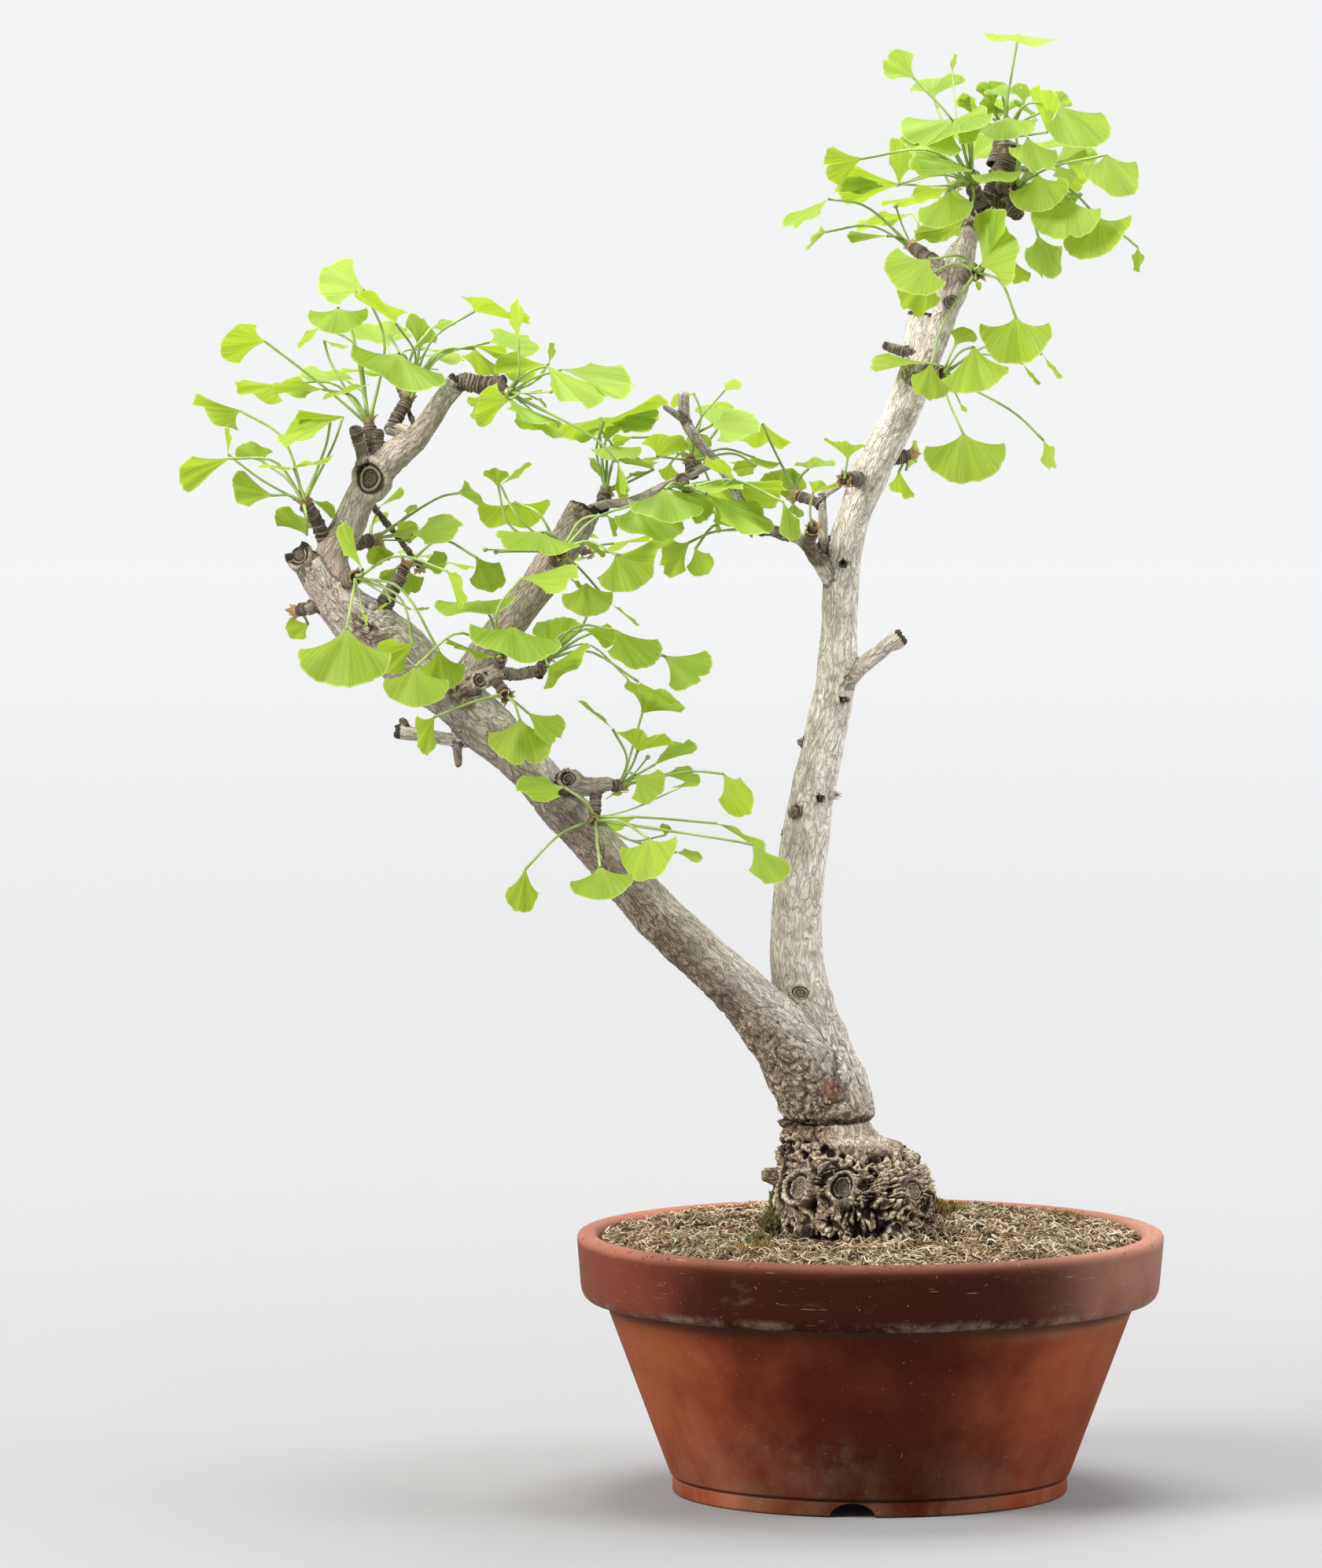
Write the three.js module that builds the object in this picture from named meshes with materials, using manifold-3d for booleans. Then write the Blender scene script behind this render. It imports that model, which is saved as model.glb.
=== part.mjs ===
// A ginkgo bonsai in a round terracotta bowl: the bowl, its soil, the grown wood, and a node for each spray of leaves.
// Millimetres, +Z up. The tree faces -Y. The origin is at the middle of the whole outline, on the ground.
import * as THREE from 'three';
import { mergeVertices } from 'three/addons/utils/BufferGeometryUtils.js';
import Module from 'manifold-3d';

const wasm = await Module();
wasm.setup();

// The bowl.
const rimRadius = 149.8;
const potHeight = 133.2;
const wallThickness = 10;
const footRadius = 100.9;
const footHeight = 8;
const drainRadius = 14;
const notchWidth = 23;
const notchHeight = 7.2;
const notchCount = 3;
const firstNotchAngle = -96;      // degrees round from +X, so just left of the middle at the front
const potSides = 36;

// The soil.
const soilGap = 0.5;
const soilEdgeHeight = 127.5;
const soilCrownHeight = 138;
const soilLump = 1.6;
const rootHoleGap = 0.4;

// Leaves.
const bladeThickness = 0.8;
const stalkRadius = 0.65;
const budRadius = 2.3;
const budHeight = 4.6;
const budGap = 0.3;               // between a bud and the spur that it sits on
const clearance = 0.4;            // kept round a leaf when it is settled among its neighbours
const settleStep = 3;
const settleSteps = 18;
const stalkSwerves = [0, -7, 7, -14, 14];   // how far a stalk's middle may swing aside in depth
const smallBlade = 25;            // blades shorter than this have fewer facets
const tinyBlade = 10;             // and those shorter than this fewer still
const leastBlade = 7;             // folded young blades shorter than this are left out
const longStalk = 24;             // stalks longer than this are bent in the middle
const usualFanAngle = 61;         // half of the angle that a blade spreads over, in degrees

// The tree is set out on a front elevation sheet, drawn in perspective from eyePoint. Sheet points are
// [across, down], in sheet units, and a depth in millimetres says how far behind the bowl's axis each lies.
const eyePoint = new THREE.Vector3(-106.7, -5580, 797);
const sheetAim = new THREE.Vector3(-106.7, 0, 361.8);
const sheetMiddle = [840.5, 997];
const sheetUnit = 0.4;            // millimetres
const sheetReach = eyePoint.distanceTo(sheetAim) / sheetUnit;
const sheetInto = sheetAim.clone().sub(eyePoint).normalize();
const sheetRight = new THREE.Vector3(1, 0, 0);
const sheetUp = sheetRight.clone().cross(sheetInto);

// The trunks and branches: [name, sides, [across, down, depth, width], ...], each from its root to its tip.
const limbs = [
  ['right trunk', 10,
    [1085, 1662, -11, 150], [1086, 1575, -11, 202], [1085, 1527, -11, 214], [1074, 1497, -11, 190],
    [1061, 1465, -10, 150], [1055, 1442, -9, 125], [1053, 1433, -9, 114], [1052, 1424, -8, 120],
    [1044, 1375, -6, 114], [1034, 1335, -3, 98], [1023, 1290, 0, 82], [1014, 1230, 4, 70],
    [1013, 1160, 7, 64], [1025, 1060, 8, 60], [1034, 1005, 9, 55], [1050, 930, 10, 53],
    [1064, 860, 10, 50], [1068, 780, 10, 46], [1074, 700, 8, 45], [1086, 655, 8, 41],
    [1107, 600, 7, 49], [1120, 574, 7, 46], [1141, 538, 6, 44], [1170, 462, 3, 44]],
  ['left trunk', 8,
    [1052, 1420, -10, 100], [1025, 1365, -14, 96], [990, 1315, -18, 84], [946, 1265, -22, 67],
    [890, 1212, -24, 63], [830, 1158, -25, 61], [756, 1072, -26, 57], [718, 1030, -28, 56],
    [683, 988, -30, 57], [648, 952, -30, 60], [614, 920, -28, 67], [578, 886, -27, 66],
    [540, 858, -27, 70], [500, 822, -27, 76], [462, 794, -26, 70], [430, 765, -25, 58],
    [408, 738, -24, 48], [394, 716, -23, 40]],
  ['left top stub', 7, [398, 724, -23, 32], [384, 708, -23, 28], [374, 697, -23, 22]],
  ['left upper branch', 7,
    [425, 745, -22, 48], [422, 706, -21, 43], [442, 671, -20, 41], [456, 636, -20, 40],
    [475, 606, -19, 42], [500, 580, -18, 39], [526, 561, -17, 33], [548, 533, -16, 27],
    [564, 508, -15, 26], [583, 484, -15, 26]],
  ['right top branch', 7,
    [1164, 485, 2, 38], [1188, 440, -4, 31], [1201, 402, -5, 32], [1210, 367, -5, 42],
    [1219, 333, -5, 42], [1233, 300, -5, 24], [1243, 266, -5, 20]],
  ['pale cut stem', 8, [1160, 500, 8, 36], [1165, 450, 14, 38], [1172, 397, 16, 34]],
  ['middle branch', 7,
    [590, 870, -24, 46], [615, 835, -16, 45], [650, 790, -8, 45], [690, 735, 0, 45],
    [722, 686, 6, 45], [745, 646, 10, 44]],
  ['middle twig', 5,
    [738, 656, 9, 14], [767, 642, 10, 9], [802, 638, 8, 9], [840, 621, 5, 9], [872, 606, 2, 9],
    [901, 592, 0, 8]],
  ['inner branch', 6, [1060, 736, 7, 22], [1040, 710, 3, 17], [1020, 687, 0, 16], [1000, 680, -4, 11]],
  ['inner twig left', 5, [1006, 682, -3, 11], [982, 675, -8, 9], [966, 673, -14, 9]],
  ['inner twig up', 5, [1040, 714, 3, 11], [1044, 690, 4, 8], [1045, 626, 6, 8]],
  ['grey twig', 5,
    [998, 682, -3, 10], [957, 662, -6, 9], [925, 606, -2, 9], [897, 573, 2, 9], [872, 532, 5, 9],
    [871, 502, 6, 8]],
  ['right stub', 8, [1068, 870, 8, 26], [1095, 848, 6, 19], [1142, 813, 2, 18]],
  ['left stub', 7, [614, 938, -28, 26], [589, 942, -29, 17], [545, 936, -32, 17], [504, 930, -34, 18]],
  ['swelling branch', 7, [572, 892, -30, 40], [590, 872, -34, 26], [612, 862, -38, 22], [640, 850, -42, 19]],
  ['swelling twig', 5, [632, 854, -41, 12], [675, 862, -40, 9], [688, 852, -36, 9]],
  ['low knob', 7, [712, 1006, -32, 26], [724, 982, -38, 20]],
  ['low branch', 5, [722, 992, -35, 16], [736, 1001, -40, 12], [772, 1000, -34, 9]],
  ['side branch', 6, [548, 541, -16, 18], [520, 549, -14, 15], [494, 546, -11, 15]],
  ['grey stub', 6, [479, 590, -18, 18], [480, 548, -16, 15]],
  ['dark spur', 5, [466, 592, -20, 12], [452, 549, -26, 8]],
  ['horizontal spur', 5, [572, 494, -15, 14], [610, 486, -20, 10], [628, 488, -24, 9]],
  ['ringed twig', 5, [486, 778, -26, 16], [495, 751, -28, 9], [507, 735, -26, 9]],
  ['crown stub', 7, [1238, 284, -5, 20], [1252, 257, -8, 22]],
  ['crown spur up', 6, [1244, 276, -5, 16], [1258, 232, -3, 13], [1268, 196, 2, 12]],
  ['crown spur right', 5, [1256, 240, -3, 13], [1278, 236, -8, 12]],
  ['top knob left', 6, [1200, 342, -5, 20], [1182, 332, -4, 10]],
];

// Each spray of leaves: its name, the bud's place [across, down, depth], the root of the spur that carries it
// [across, down, depth, width], and its leaves. A leaf is the root of its blade, its two outer corners, its depth
// in front of (-) or behind (+) the bud, and where it helps the middle of its outer edge and a point that its
// stalk arches over, with a depth of its own.
const sprays = [
  { name: 'leaves_far_left', bud: [390, 643, -34], spur: [414, 688, -21, 12], leaves: [
    { root: [291, 583], corners: [233, 588, 240, 629], depth: -12, middle: [228, 610] },
    { root: [290, 578], corners: [286, 546, 295, 548], depth: -4, middle: [290, 545] },
    { root: [335, 588], corners: [300, 581, 347, 572], depth: 6 },
    { root: [374, 596], corners: [322, 596, 430, 583], depth: -14, middle: [380, 590] },
    { root: [345, 630], corners: [306, 595, 312, 648], depth: -6, middle: [298, 620] },
    { root: [390, 680], corners: [340, 652, 388, 655], depth: 14 },
    { root: [397, 636], corners: [424, 660, 431, 648], depth: 12 },
    { root: [420, 537], corners: [350, 540, 366, 574], depth: -8 },
    { root: [305, 522], corners: [248, 499, 290, 546], depth: 5 }] },
  { name: 'leaves_top_left_1', bud: [470, 543, -10], spur: [477, 585, -18, 12], leaves: [
    { root: [337, 434], corners: [306, 410, 280, 463], depth: -5, over: [412, 492, -8] },
    { root: [355, 490], corners: [306, 480, 357, 510], depth: 8 },
    { root: [410, 495], corners: [348, 481, 352, 504], depth: 4 },
    { root: [443, 485], corners: [375, 480, 435, 470], depth: 12 },
    { root: [441, 500], corners: [407, 508, 475, 488], depth: -15 },
    { root: [462, 368], corners: [432, 323, 415, 390], depth: -3 },
    { root: [430, 392], corners: [388, 395, 470, 392], depth: -20, middle: [430, 425] },
    { root: [407, 415], corners: [376, 437, 383, 441], depth: 6 },
    { root: [412, 433], corners: [440, 440, 438, 446], depth: 3 }] },
  { name: 'leaves_top_left_2', bud: [517, 512, -2], spur: [498, 547, -12, 12], leaves: [
    { root: [507, 450], corners: [434, 440, 563, 478], depth: -22, middle: [510, 494] },
    { root: [504, 412], corners: [447, 375, 513, 398], depth: -6 },
    { root: [533, 442], corners: [513, 403, 556, 425], depth: 4 },
    { root: [547, 418], corners: [575, 401, 580, 418], depth: 9 },
    { root: [497, 428], corners: [475, 437, 520, 416], depth: 12 },
    { root: [538, 452], corners: [585, 446, 590, 466], depth: 14 },
    { root: [603, 396], corners: [585, 377, 672, 415], depth: -8 },
    { root: [622, 435], corners: [638, 413, 690, 454], depth: 6 },
    { root: [603, 443], corners: [588, 450, 640, 468], depth: 4, middle: [620, 478] }] },
  { name: 'leaves_top_left_3', bud: [643, 497, -30], spur: [620, 486, -22, 10], leaves: [
    { root: [659, 432], corners: [645, 384, 665, 385], depth: -4 },
    { root: [693, 464], corners: [622, 450, 648, 487], depth: 12 },
    { root: [706, 470], corners: [704, 494, 797, 476], depth: -14, middle: [765, 516] },
    { root: [698, 462], corners: [699, 433, 707, 443], depth: 5 },
    { root: [648, 508], corners: [630, 487, 622, 543], depth: -22 },
    { root: [620, 512], corners: [590, 515, 600, 503], depth: -10 },
    { root: [603, 520], corners: [598, 534, 608, 530], depth: -6 },
    { root: [646, 508], corners: [672, 540, 727, 546], depth: -16 },
    { root: [652, 506], corners: [675, 505, 675, 514], depth: 4 },
    { root: [684, 508], corners: [690, 507, 696, 521], depth: 8 },
    { root: [786, 588], corners: [790, 630, 799, 622], depth: -20, over: [760, 560, -20] }] },
  { name: 'leaves_middle_1', bud: [770, 628, 24], spur: [766, 646, 10, 11], leaves: [
    { root: [766, 534], corners: [704, 526, 846, 504], depth: 10 },
    { root: [762, 545], corners: [726, 548, 735, 566], depth: 14 },
    { root: [769, 564], corners: [771, 540, 796, 535], depth: 6 },
    { root: [769, 614], corners: [746, 583, 757, 582], depth: 12 },
    { root: [778, 566], corners: [749, 571, 820, 568], depth: -8, middle: [790, 584] },
    { root: [831, 597], corners: [790, 588, 838, 590], depth: -6 },
    { root: [822, 600], corners: [800, 609, 802, 600], depth: 10 }] },
  { name: 'leaves_middle_2', bud: [878, 588, 14], spur: [880, 603, 1, 10], leaves: [
    { root: [836, 580], corners: [822, 570, 883, 582], depth: -12, middle: [858, 553] },
    { root: [893, 575], corners: [880, 557, 907, 560], depth: 6 },
    { root: [906, 540], corners: [916, 512, 913, 563], depth: -6, middle: [965, 540] },
    { root: [921, 497], corners: [928, 480, 948, 490], depth: 4 },
    { root: [882, 500], corners: [846, 510, 862, 517], depth: 12 },
    { root: [960, 582], corners: [922, 587, 999, 589], depth: 10, middle: [960, 594] },
    { root: [962, 592], corners: [927, 590, 945, 608], depth: 2 }] },
  { name: 'leaves_middle_3', bud: [870, 620, -12], spur: [866, 608, 2, 10], leaves: [
    { root: [934, 609], corners: [888, 586, 915, 583], depth: -16 },
    { root: [996, 638], corners: [988, 662, 1019, 664], depth: -20, middle: [1008, 687], over: [930, 610, -10] },
    { root: [898, 628], corners: [928, 656, 972, 634], depth: -12, middle: [976, 680] },
    { root: [845, 622], corners: [799, 640, 902, 645], depth: -24, middle: [850, 665] },
    { root: [908, 652], corners: [917, 676, 912, 677], depth: 2 },
    { root: [884, 618], corners: [955, 616, 900, 628], depth: -6 }] },
  { name: 'leaves_inner_1', bud: [957, 672, -24], spur: [970, 674, -12, 10], leaves: [
    { root: [884, 698], corners: [878, 735, 912, 716], depth: -18 },
    { root: [876, 690], corners: [837, 695, 858, 742], depth: -10, over: [905, 677, -8] }] },
  { name: 'leaves_inner_2', bud: [1018, 632, 14], spur: [1042, 642, 6, 9], leaves: [
    { root: [970, 539], corners: [936, 562, 1010, 566], depth: 8, middle: [975, 568] },
    { root: [1012, 636], corners: [985, 600, 1023, 600], depth: 14 },
    { root: [1028, 596], corners: [1012, 592, 1070, 591], depth: 6, middle: [1040, 585] },
    { root: [1008, 640], corners: [1000, 648, 1022, 652], depth: 6, middle: [1016, 658] }] },
  { name: 'leaves_inner_3', bud: [1032, 676, -14], spur: [1026, 694, 1, 11], leaves: [
    { root: [1034, 626], corners: [1031, 612, 1074, 620], depth: -6, middle: [1052, 614] }] },
  { name: 'leaves_inner_4', bud: [1077, 610, -16], spur: [1094, 610, 2, 12], leaves: [
    { root: [1078, 582], corners: [1040, 557, 1098, 567], depth: -4, middle: [1070, 560] }] },
  { name: 'leaves_inner_5', bud: [1152, 580, 14], spur: [1126, 588, 8, 12], leaves: [
    { root: [1143, 600], corners: [1132, 620, 1168, 635], depth: 6, middle: [1150, 632] },
    { root: [1152, 598], corners: [1160, 556, 1168, 580], depth: 8, middle: [1168, 565] }] },
  { name: 'leaves_middle_4', bud: [712, 704, -24], spur: [704, 716, 0, 12], leaves: [
    { root: [784, 706], corners: [768, 735, 845, 711], depth: -14, middle: [805, 750] },
    { root: [741, 690], corners: [766, 674, 797, 699], depth: 4, middle: [760, 697] },
    { root: [806, 642], corners: [790, 655, 886, 655], depth: -8, middle: [840, 684], over: [755, 660, -6] },
    { root: [772, 655], corners: [781, 687, 789, 670], depth: 6 },
    { root: [690, 678], corners: [628, 684, 738, 690], depth: -16, middle: [685, 707] },
    { root: [728, 738], corners: [742, 743, 740, 752], depth: 4 },
    { root: [776, 768], corners: [815, 797, 806, 786], depth: 6 },
    { root: [633, 617], corners: [611, 603, 648, 605], depth: -4, middle: [630, 597], over: [648, 668, -4] },
    { root: [636, 617], corners: [650, 600, 662, 604], depth: 2, middle: [674, 590] },
    { root: [654, 639], corners: [594, 637, 688, 630], depth: 6, middle: [650, 674] }] },
  { name: 'leaves_left_1', bud: [451, 735, -48], spur: [438, 744, -26, 12], leaves: [
    { root: [461, 724], corners: [424, 676, 440, 661], depth: -16 },
    { root: [441, 800], corners: [365, 829, 495, 836], depth: -26, middle: [435, 872] },
    { root: [526, 819], corners: [472, 822, 487, 868], depth: -14 },
    { root: [558, 828], corners: [530, 852, 593, 848], depth: -18, middle: [562, 880] },
    { root: [461, 780], corners: [470, 790, 465, 797], depth: -20 },
    { root: [522, 775], corners: [548, 776, 540, 772], depth: 2 },
    { root: [568, 726], corners: [602, 722, 604, 770], depth: -18, middle: [590, 760] },
    { root: [497, 766], corners: [478, 778, 482, 772], depth: -8 }] },
  { name: 'leaves_left_2', bud: [637, 836, -52], spur: [634, 852, -41, 10], leaves: [
    { root: [607, 764], corners: [546, 766, 655, 758], depth: -6, middle: [600, 778] },
    { root: [652, 797], corners: [589, 800, 716, 818], depth: -18, middle: [660, 836] },
    { root: [630, 836], corners: [571, 811, 612, 831], depth: -8, middle: [575, 822] },
    { root: [528, 848], corners: [484, 868, 575, 868], depth: -20, middle: [530, 897] },
    { root: [663, 735], corners: [726, 711, 700, 755], depth: -20, middle: [731, 735] }] },
  { name: 'leaves_left_3', bud: [513, 724, -24], spur: [502, 742, -27, 10], leaves: [
    { root: [606, 709], corners: [603, 738, 644, 712], depth: -8, middle: [632, 750] },
    { root: [505, 722], corners: [478, 732, 492, 743], depth: 8 },
    { root: [520, 728], corners: [508, 747, 539, 735], depth: 10 },
    { root: [537, 720], corners: [556, 703, 556, 735], depth: 4, middle: [568, 712] }] },
  { name: 'leaves_left_4', bud: [470, 688, -8], spur: [446, 694, -20, 12], leaves: [
    { root: [524, 680], corners: [548, 654, 545, 698], depth: -10, middle: [586, 668] },
    { root: [499, 682], corners: [507, 665, 515, 692], depth: 2, middle: [533, 670] },
    { root: [472, 668], corners: [480, 651, 499, 652], depth: 10 },
    { root: [518, 655], corners: [515, 645, 533, 643], depth: 12 },
    { root: [487, 690], corners: [462, 712, 497, 712], depth: 8 },
    { root: [583, 627], corners: [605, 614, 636, 656], depth: 4, middle: [612, 632], over: [560, 632, 4] },
    { root: [482, 645], corners: [500, 620, 512, 625], depth: 10, middle: [513, 622] }] },
  { name: 'leaves_left_5', bud: [382, 776, -16], spur: [404, 770, -24, 12], leaves: [
    { root: [392, 794], corners: [370, 785, 388, 814], depth: 8 }] },
  { name: 'leaves_middle_5', bud: [692, 842, -32], spur: [684, 857, -38, 10], leaves: [
    { root: [745, 742], corners: [712, 759, 784, 755], depth: -12, middle: [750, 783], over: [744, 790, -10] },
    { root: [702, 838], corners: [674, 797, 746, 796], depth: 6, middle: [712, 786] },
    { root: [697, 848], corners: [690, 864, 748, 800], depth: -20, middle: [735, 845] },
    { root: [745, 800], corners: [778, 796, 772, 828], depth: -4, middle: [782, 812] },
    { root: [782, 801], corners: [782, 826, 852, 810], depth: -12, middle: [822, 846] },
    { root: [846, 835], corners: [852, 880, 904, 828], depth: -6, middle: [893, 862] },
    { root: [798, 863], corners: [796, 880, 812, 878], depth: 2 },
    { root: [812, 867], corners: [815, 880, 873, 905], depth: 4, middle: [850, 890] }] },
  { name: 'leaves_middle_6', bud: [640, 880, -50], spur: [628, 862, -40, 10], leaves: [
    { root: [552, 912], corners: [524, 929, 548, 968], depth: -14, over: [600, 893, -8] },
    { root: [672, 907], corners: [680, 940, 713, 912], depth: -4, middle: [712, 938] },
    { root: [661, 915], corners: [624, 935, 713, 936], depth: -14, middle: [665, 972] }] },
  { name: 'leaves_low_1', bud: [756, 1036, -46], spur: [758, 1004, -36, 10], leaves: [
    { root: [717, 1001], corners: [690, 987, 712, 1021], depth: -16, middle: [658, 1003] },
    { root: [668, 1105], corners: [633, 1132, 677, 1140], depth: -10, middle: [661, 1159] },
    { root: [763, 1103], corners: [723, 1125, 811, 1113], depth: -24, middle: [768, 1142] },
    { root: [824, 1066], corners: [786, 1080, 862, 1064], depth: -22, middle: [824, 1118] },
    { root: [860, 1084], corners: [872, 1075, 882, 1093], depth: 4, middle: [893, 1090] },
    { root: [912, 1047], corners: [906, 1041, 965, 1078], depth: 2 },
    { root: [957, 1074], corners: [960, 1106, 1008, 1087], depth: -8, middle: [992, 1122], over: [925, 1068, -6] },
    { root: [864, 1002], corners: [853, 1001, 886, 998], depth: 8 },
    { root: [846, 1062], corners: [838, 1052, 855, 1058], depth: 8 }] },
  { name: 'leaves_low_2', bud: [785, 999, -26], spur: [766, 1000, -35, 10], leaves: [
    { root: [779, 927], corners: [742, 894, 770, 912], depth: 8, middle: [741, 893] },
    { root: [811, 955], corners: [780, 927, 861, 943], depth: -14, middle: [826, 932] },
    { root: [817, 906], corners: [797, 870, 872, 904], depth: 2, middle: [845, 880] },
    { root: [833, 972], corners: [836, 948, 884, 948], depth: 4, middle: [872, 946] },
    { root: [845, 985], corners: [868, 968, 892, 997], depth: 8, middle: [885, 985] },
    { root: [808, 986], corners: [842, 976, 804, 1018], depth: -16, middle: [838, 1012] },
    { root: [920, 984], corners: [922, 1018, 954, 984], depth: -8, middle: [950, 1036], over: [880, 981, -4] },
    { root: [780, 1008], corners: [768, 1015, 800, 1005], depth: 2 }] },
  { name: 'leaves_right_1', bud: [1240, 346, -28], spur: [1222, 352, -8, 14], leaves: [
    { root: [1182, 330], corners: [1128, 302, 1196, 356], depth: -14, middle: [1140, 365] },
    { root: [1180, 350], corners: [1133, 380, 1190, 398], depth: 4 },
    { root: [1292, 404], corners: [1248, 414, 1344, 415], depth: -12, middle: [1290, 462] },
    { root: [1184, 463], corners: [1149, 480, 1202, 497], depth: -16, middle: [1178, 506], over: [1200, 410, -14] },
    { root: [1247, 338], corners: [1246, 268, 1270, 356], depth: -14, middle: [1290, 310] },
    { root: [1287, 330], corners: [1275, 345, 1316, 350], depth: 6, middle: [1295, 358] },
    { root: [1241, 356], corners: [1243, 370, 1250, 366], depth: -6 }] },
  { name: 'leaves_right_2', bud: [1196, 474, -20], spur: [1178, 468, -3, 12], leaves: [
    { root: [1238, 441], corners: [1199, 488, 1290, 470], depth: -12, middle: [1240, 500] },
    { root: [1215, 438], corners: [1212, 424, 1247, 438], depth: 4, middle: [1232, 418] },
    { root: [1225, 552], corners: [1172, 573, 1287, 567], depth: -10, middle: [1230, 613], over: [1204, 504, -6] },
    { root: [1327, 560], corners: [1329, 605, 1348, 585], depth: 6, over: [1290, 525, 4] },
    { root: [1300, 462], corners: [1325, 491, 1315, 482], depth: 8 },
    { root: [1325, 450], corners: [1345, 484, 1350, 477], depth: 10 },
    { root: [1177, 461], corners: [1112, 450, 1112, 474], depth: 8, middle: [1107, 462] },
    { root: [1221, 513], corners: [1224, 523, 1232, 524], depth: 2 }] },
  { name: 'leaves_right_3', bud: [1163, 316, 14], spur: [1192, 338, -4, 12], leaves: [
    { root: [1053, 253], corners: [995, 274, 1038, 276], depth: -6, middle: [1002, 290], over: [1100, 262, -2] },
    { root: [1050, 295], corners: [1033, 293, 1012, 329], depth: 2, middle: [1030, 305] },
    { root: [1160, 272], corners: [1085, 282, 1100, 290], depth: 4 },
    { root: [1128, 300], corners: [1082, 292, 1085, 310], depth: -4, middle: [1078, 302] }] },
  { name: 'leaves_crown_1', bud: [1238, 240, -16], spur: [1244, 268, -5, 14], leaves: [
    { root: [1094, 202], corners: [1051, 191, 1064, 243], depth: -8, middle: [1050, 215] },
    { root: [1140, 236], corners: [1084, 214, 1092, 248], depth: 4, middle: [1064, 243] },
    { root: [1143, 234], corners: [1126, 178, 1162, 180], depth: 8 },
    { root: [1238, 217], corners: [1162, 196, 1180, 231], depth: -10, middle: [1160, 213] },
    { root: [1205, 240], corners: [1150, 243, 1175, 258], depth: 8 },
    { root: [1207, 243], corners: [1160, 266, 1237, 261], depth: -12, middle: [1196, 290] },
    { root: [1213, 240], corners: [1208, 250, 1237, 262], depth: 2 },
    { root: [1222, 288], corners: [1163, 290, 1180, 308], depth: 10, middle: [1165, 300] },
    { root: [1210, 152], corners: [1139, 146, 1252, 132], depth: -22, middle: [1180, 188] },
    { root: [1187, 122], corners: [1164, 117, 1243, 110], depth: 10, middle: [1200, 92] },
    { root: [1162, 99], corners: [1152, 57, 1120, 98], depth: -4 },
    { root: [1211, 92], corners: [1210, 70, 1218, 69], depth: 14 }] },
  { name: 'leaves_crown_2', bud: [1272, 182, 8], spur: [1264, 208, 0, 12], leaves: [
    { root: [1295, 44], corners: [1254, 44, 1359, 50], depth: -6, middle: [1300, 58], over: [1284, 108, 0] },
    { root: [1275, 122], corners: [1241, 110, 1300, 115], depth: 12 },
    { root: [1280, 123], corners: [1250, 120, 1303, 111], depth: 4 },
    { root: [1270, 152], corners: [1238, 172, 1325, 162], depth: -14, middle: [1280, 177] },
    { root: [1318, 152], corners: [1282, 126, 1305, 128], depth: 6 },
    { root: [1332, 168], corners: [1305, 113, 1346, 128], depth: -4, middle: [1325, 112] },
    { root: [1407, 184], corners: [1330, 168, 1412, 146], depth: -10, middle: [1352, 136] },
    { root: [1245, 140], corners: [1218, 135, 1225, 120], depth: 12 }] },
  { name: 'leaves_crown_3', bud: [1290, 238, -22], spur: [1272, 238, -6, 12], leaves: [
    { root: [1307, 176], corners: [1290, 188, 1358, 190], depth: -18, middle: [1322, 218] },
    { root: [1407, 197], corners: [1378, 212, 1457, 204], depth: -14, middle: [1425, 250], over: [1333, 214, -8] },
    { root: [1318, 223], corners: [1283, 246, 1364, 229], depth: -20, middle: [1325, 268] },
    { root: [1340, 208], corners: [1380, 226, 1352, 236], depth: -8 },
    { root: [1265, 217], corners: [1238, 222, 1308, 214], depth: -16, middle: [1272, 233] },
    { root: [1350, 205], corners: [1385, 190, 1378, 214], depth: 8 },
    { root: [1360, 253], corners: [1302, 270, 1398, 270], depth: -16, middle: [1352, 303] },
    { root: [1397, 277], corners: [1347, 302, 1437, 275], depth: -8, middle: [1392, 328] },
    { root: [1320, 300], corners: [1299, 322, 1354, 315], depth: -12, middle: [1335, 353] },
    { root: [1447, 314], corners: [1437, 327, 1455, 325], depth: 2, middle: [1446, 345], over: [1412, 288, 0] }] },
];

// Sprays that fill the back of the tree: name, bud, spur as above, and how many leaves are drawn round the spur.
const backSprays = [
  { name: 'leaves_back_1', bud: [1212, 245, 40], spur: [1236, 292, -3, 14], count: 5 },
  { name: 'leaves_back_2', bud: [1306, 214, 44], spur: [1262, 222, -2, 14], count: 5 },
  { name: 'leaves_back_4', bud: [744, 702, 54], spur: [716, 696, 6, 14], count: 5 },
  { name: 'leaves_back_5', bud: [888, 588, 42], spur: [890, 596, 1, 11], count: 4 },
  { name: 'leaves_back_6', bud: [500, 470, 30], spur: [532, 552, -15, 12], count: 4 },
  { name: 'leaves_back_7', bud: [530, 716, 34], spur: [462, 630, -16, 14], count: 4 },
  { name: 'leaves_back_3', bud: [742, 1024, 24], spur: [726, 1036, -26, 14], count: 4 },
];
const backStalk = [14, 26];       // shortest and longest stalk, in millimetres
const backBlade = [15, 24];       // shortest and longest blade
const backSpread = 62;            // degrees that a leaf may lean away from its spur

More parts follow.
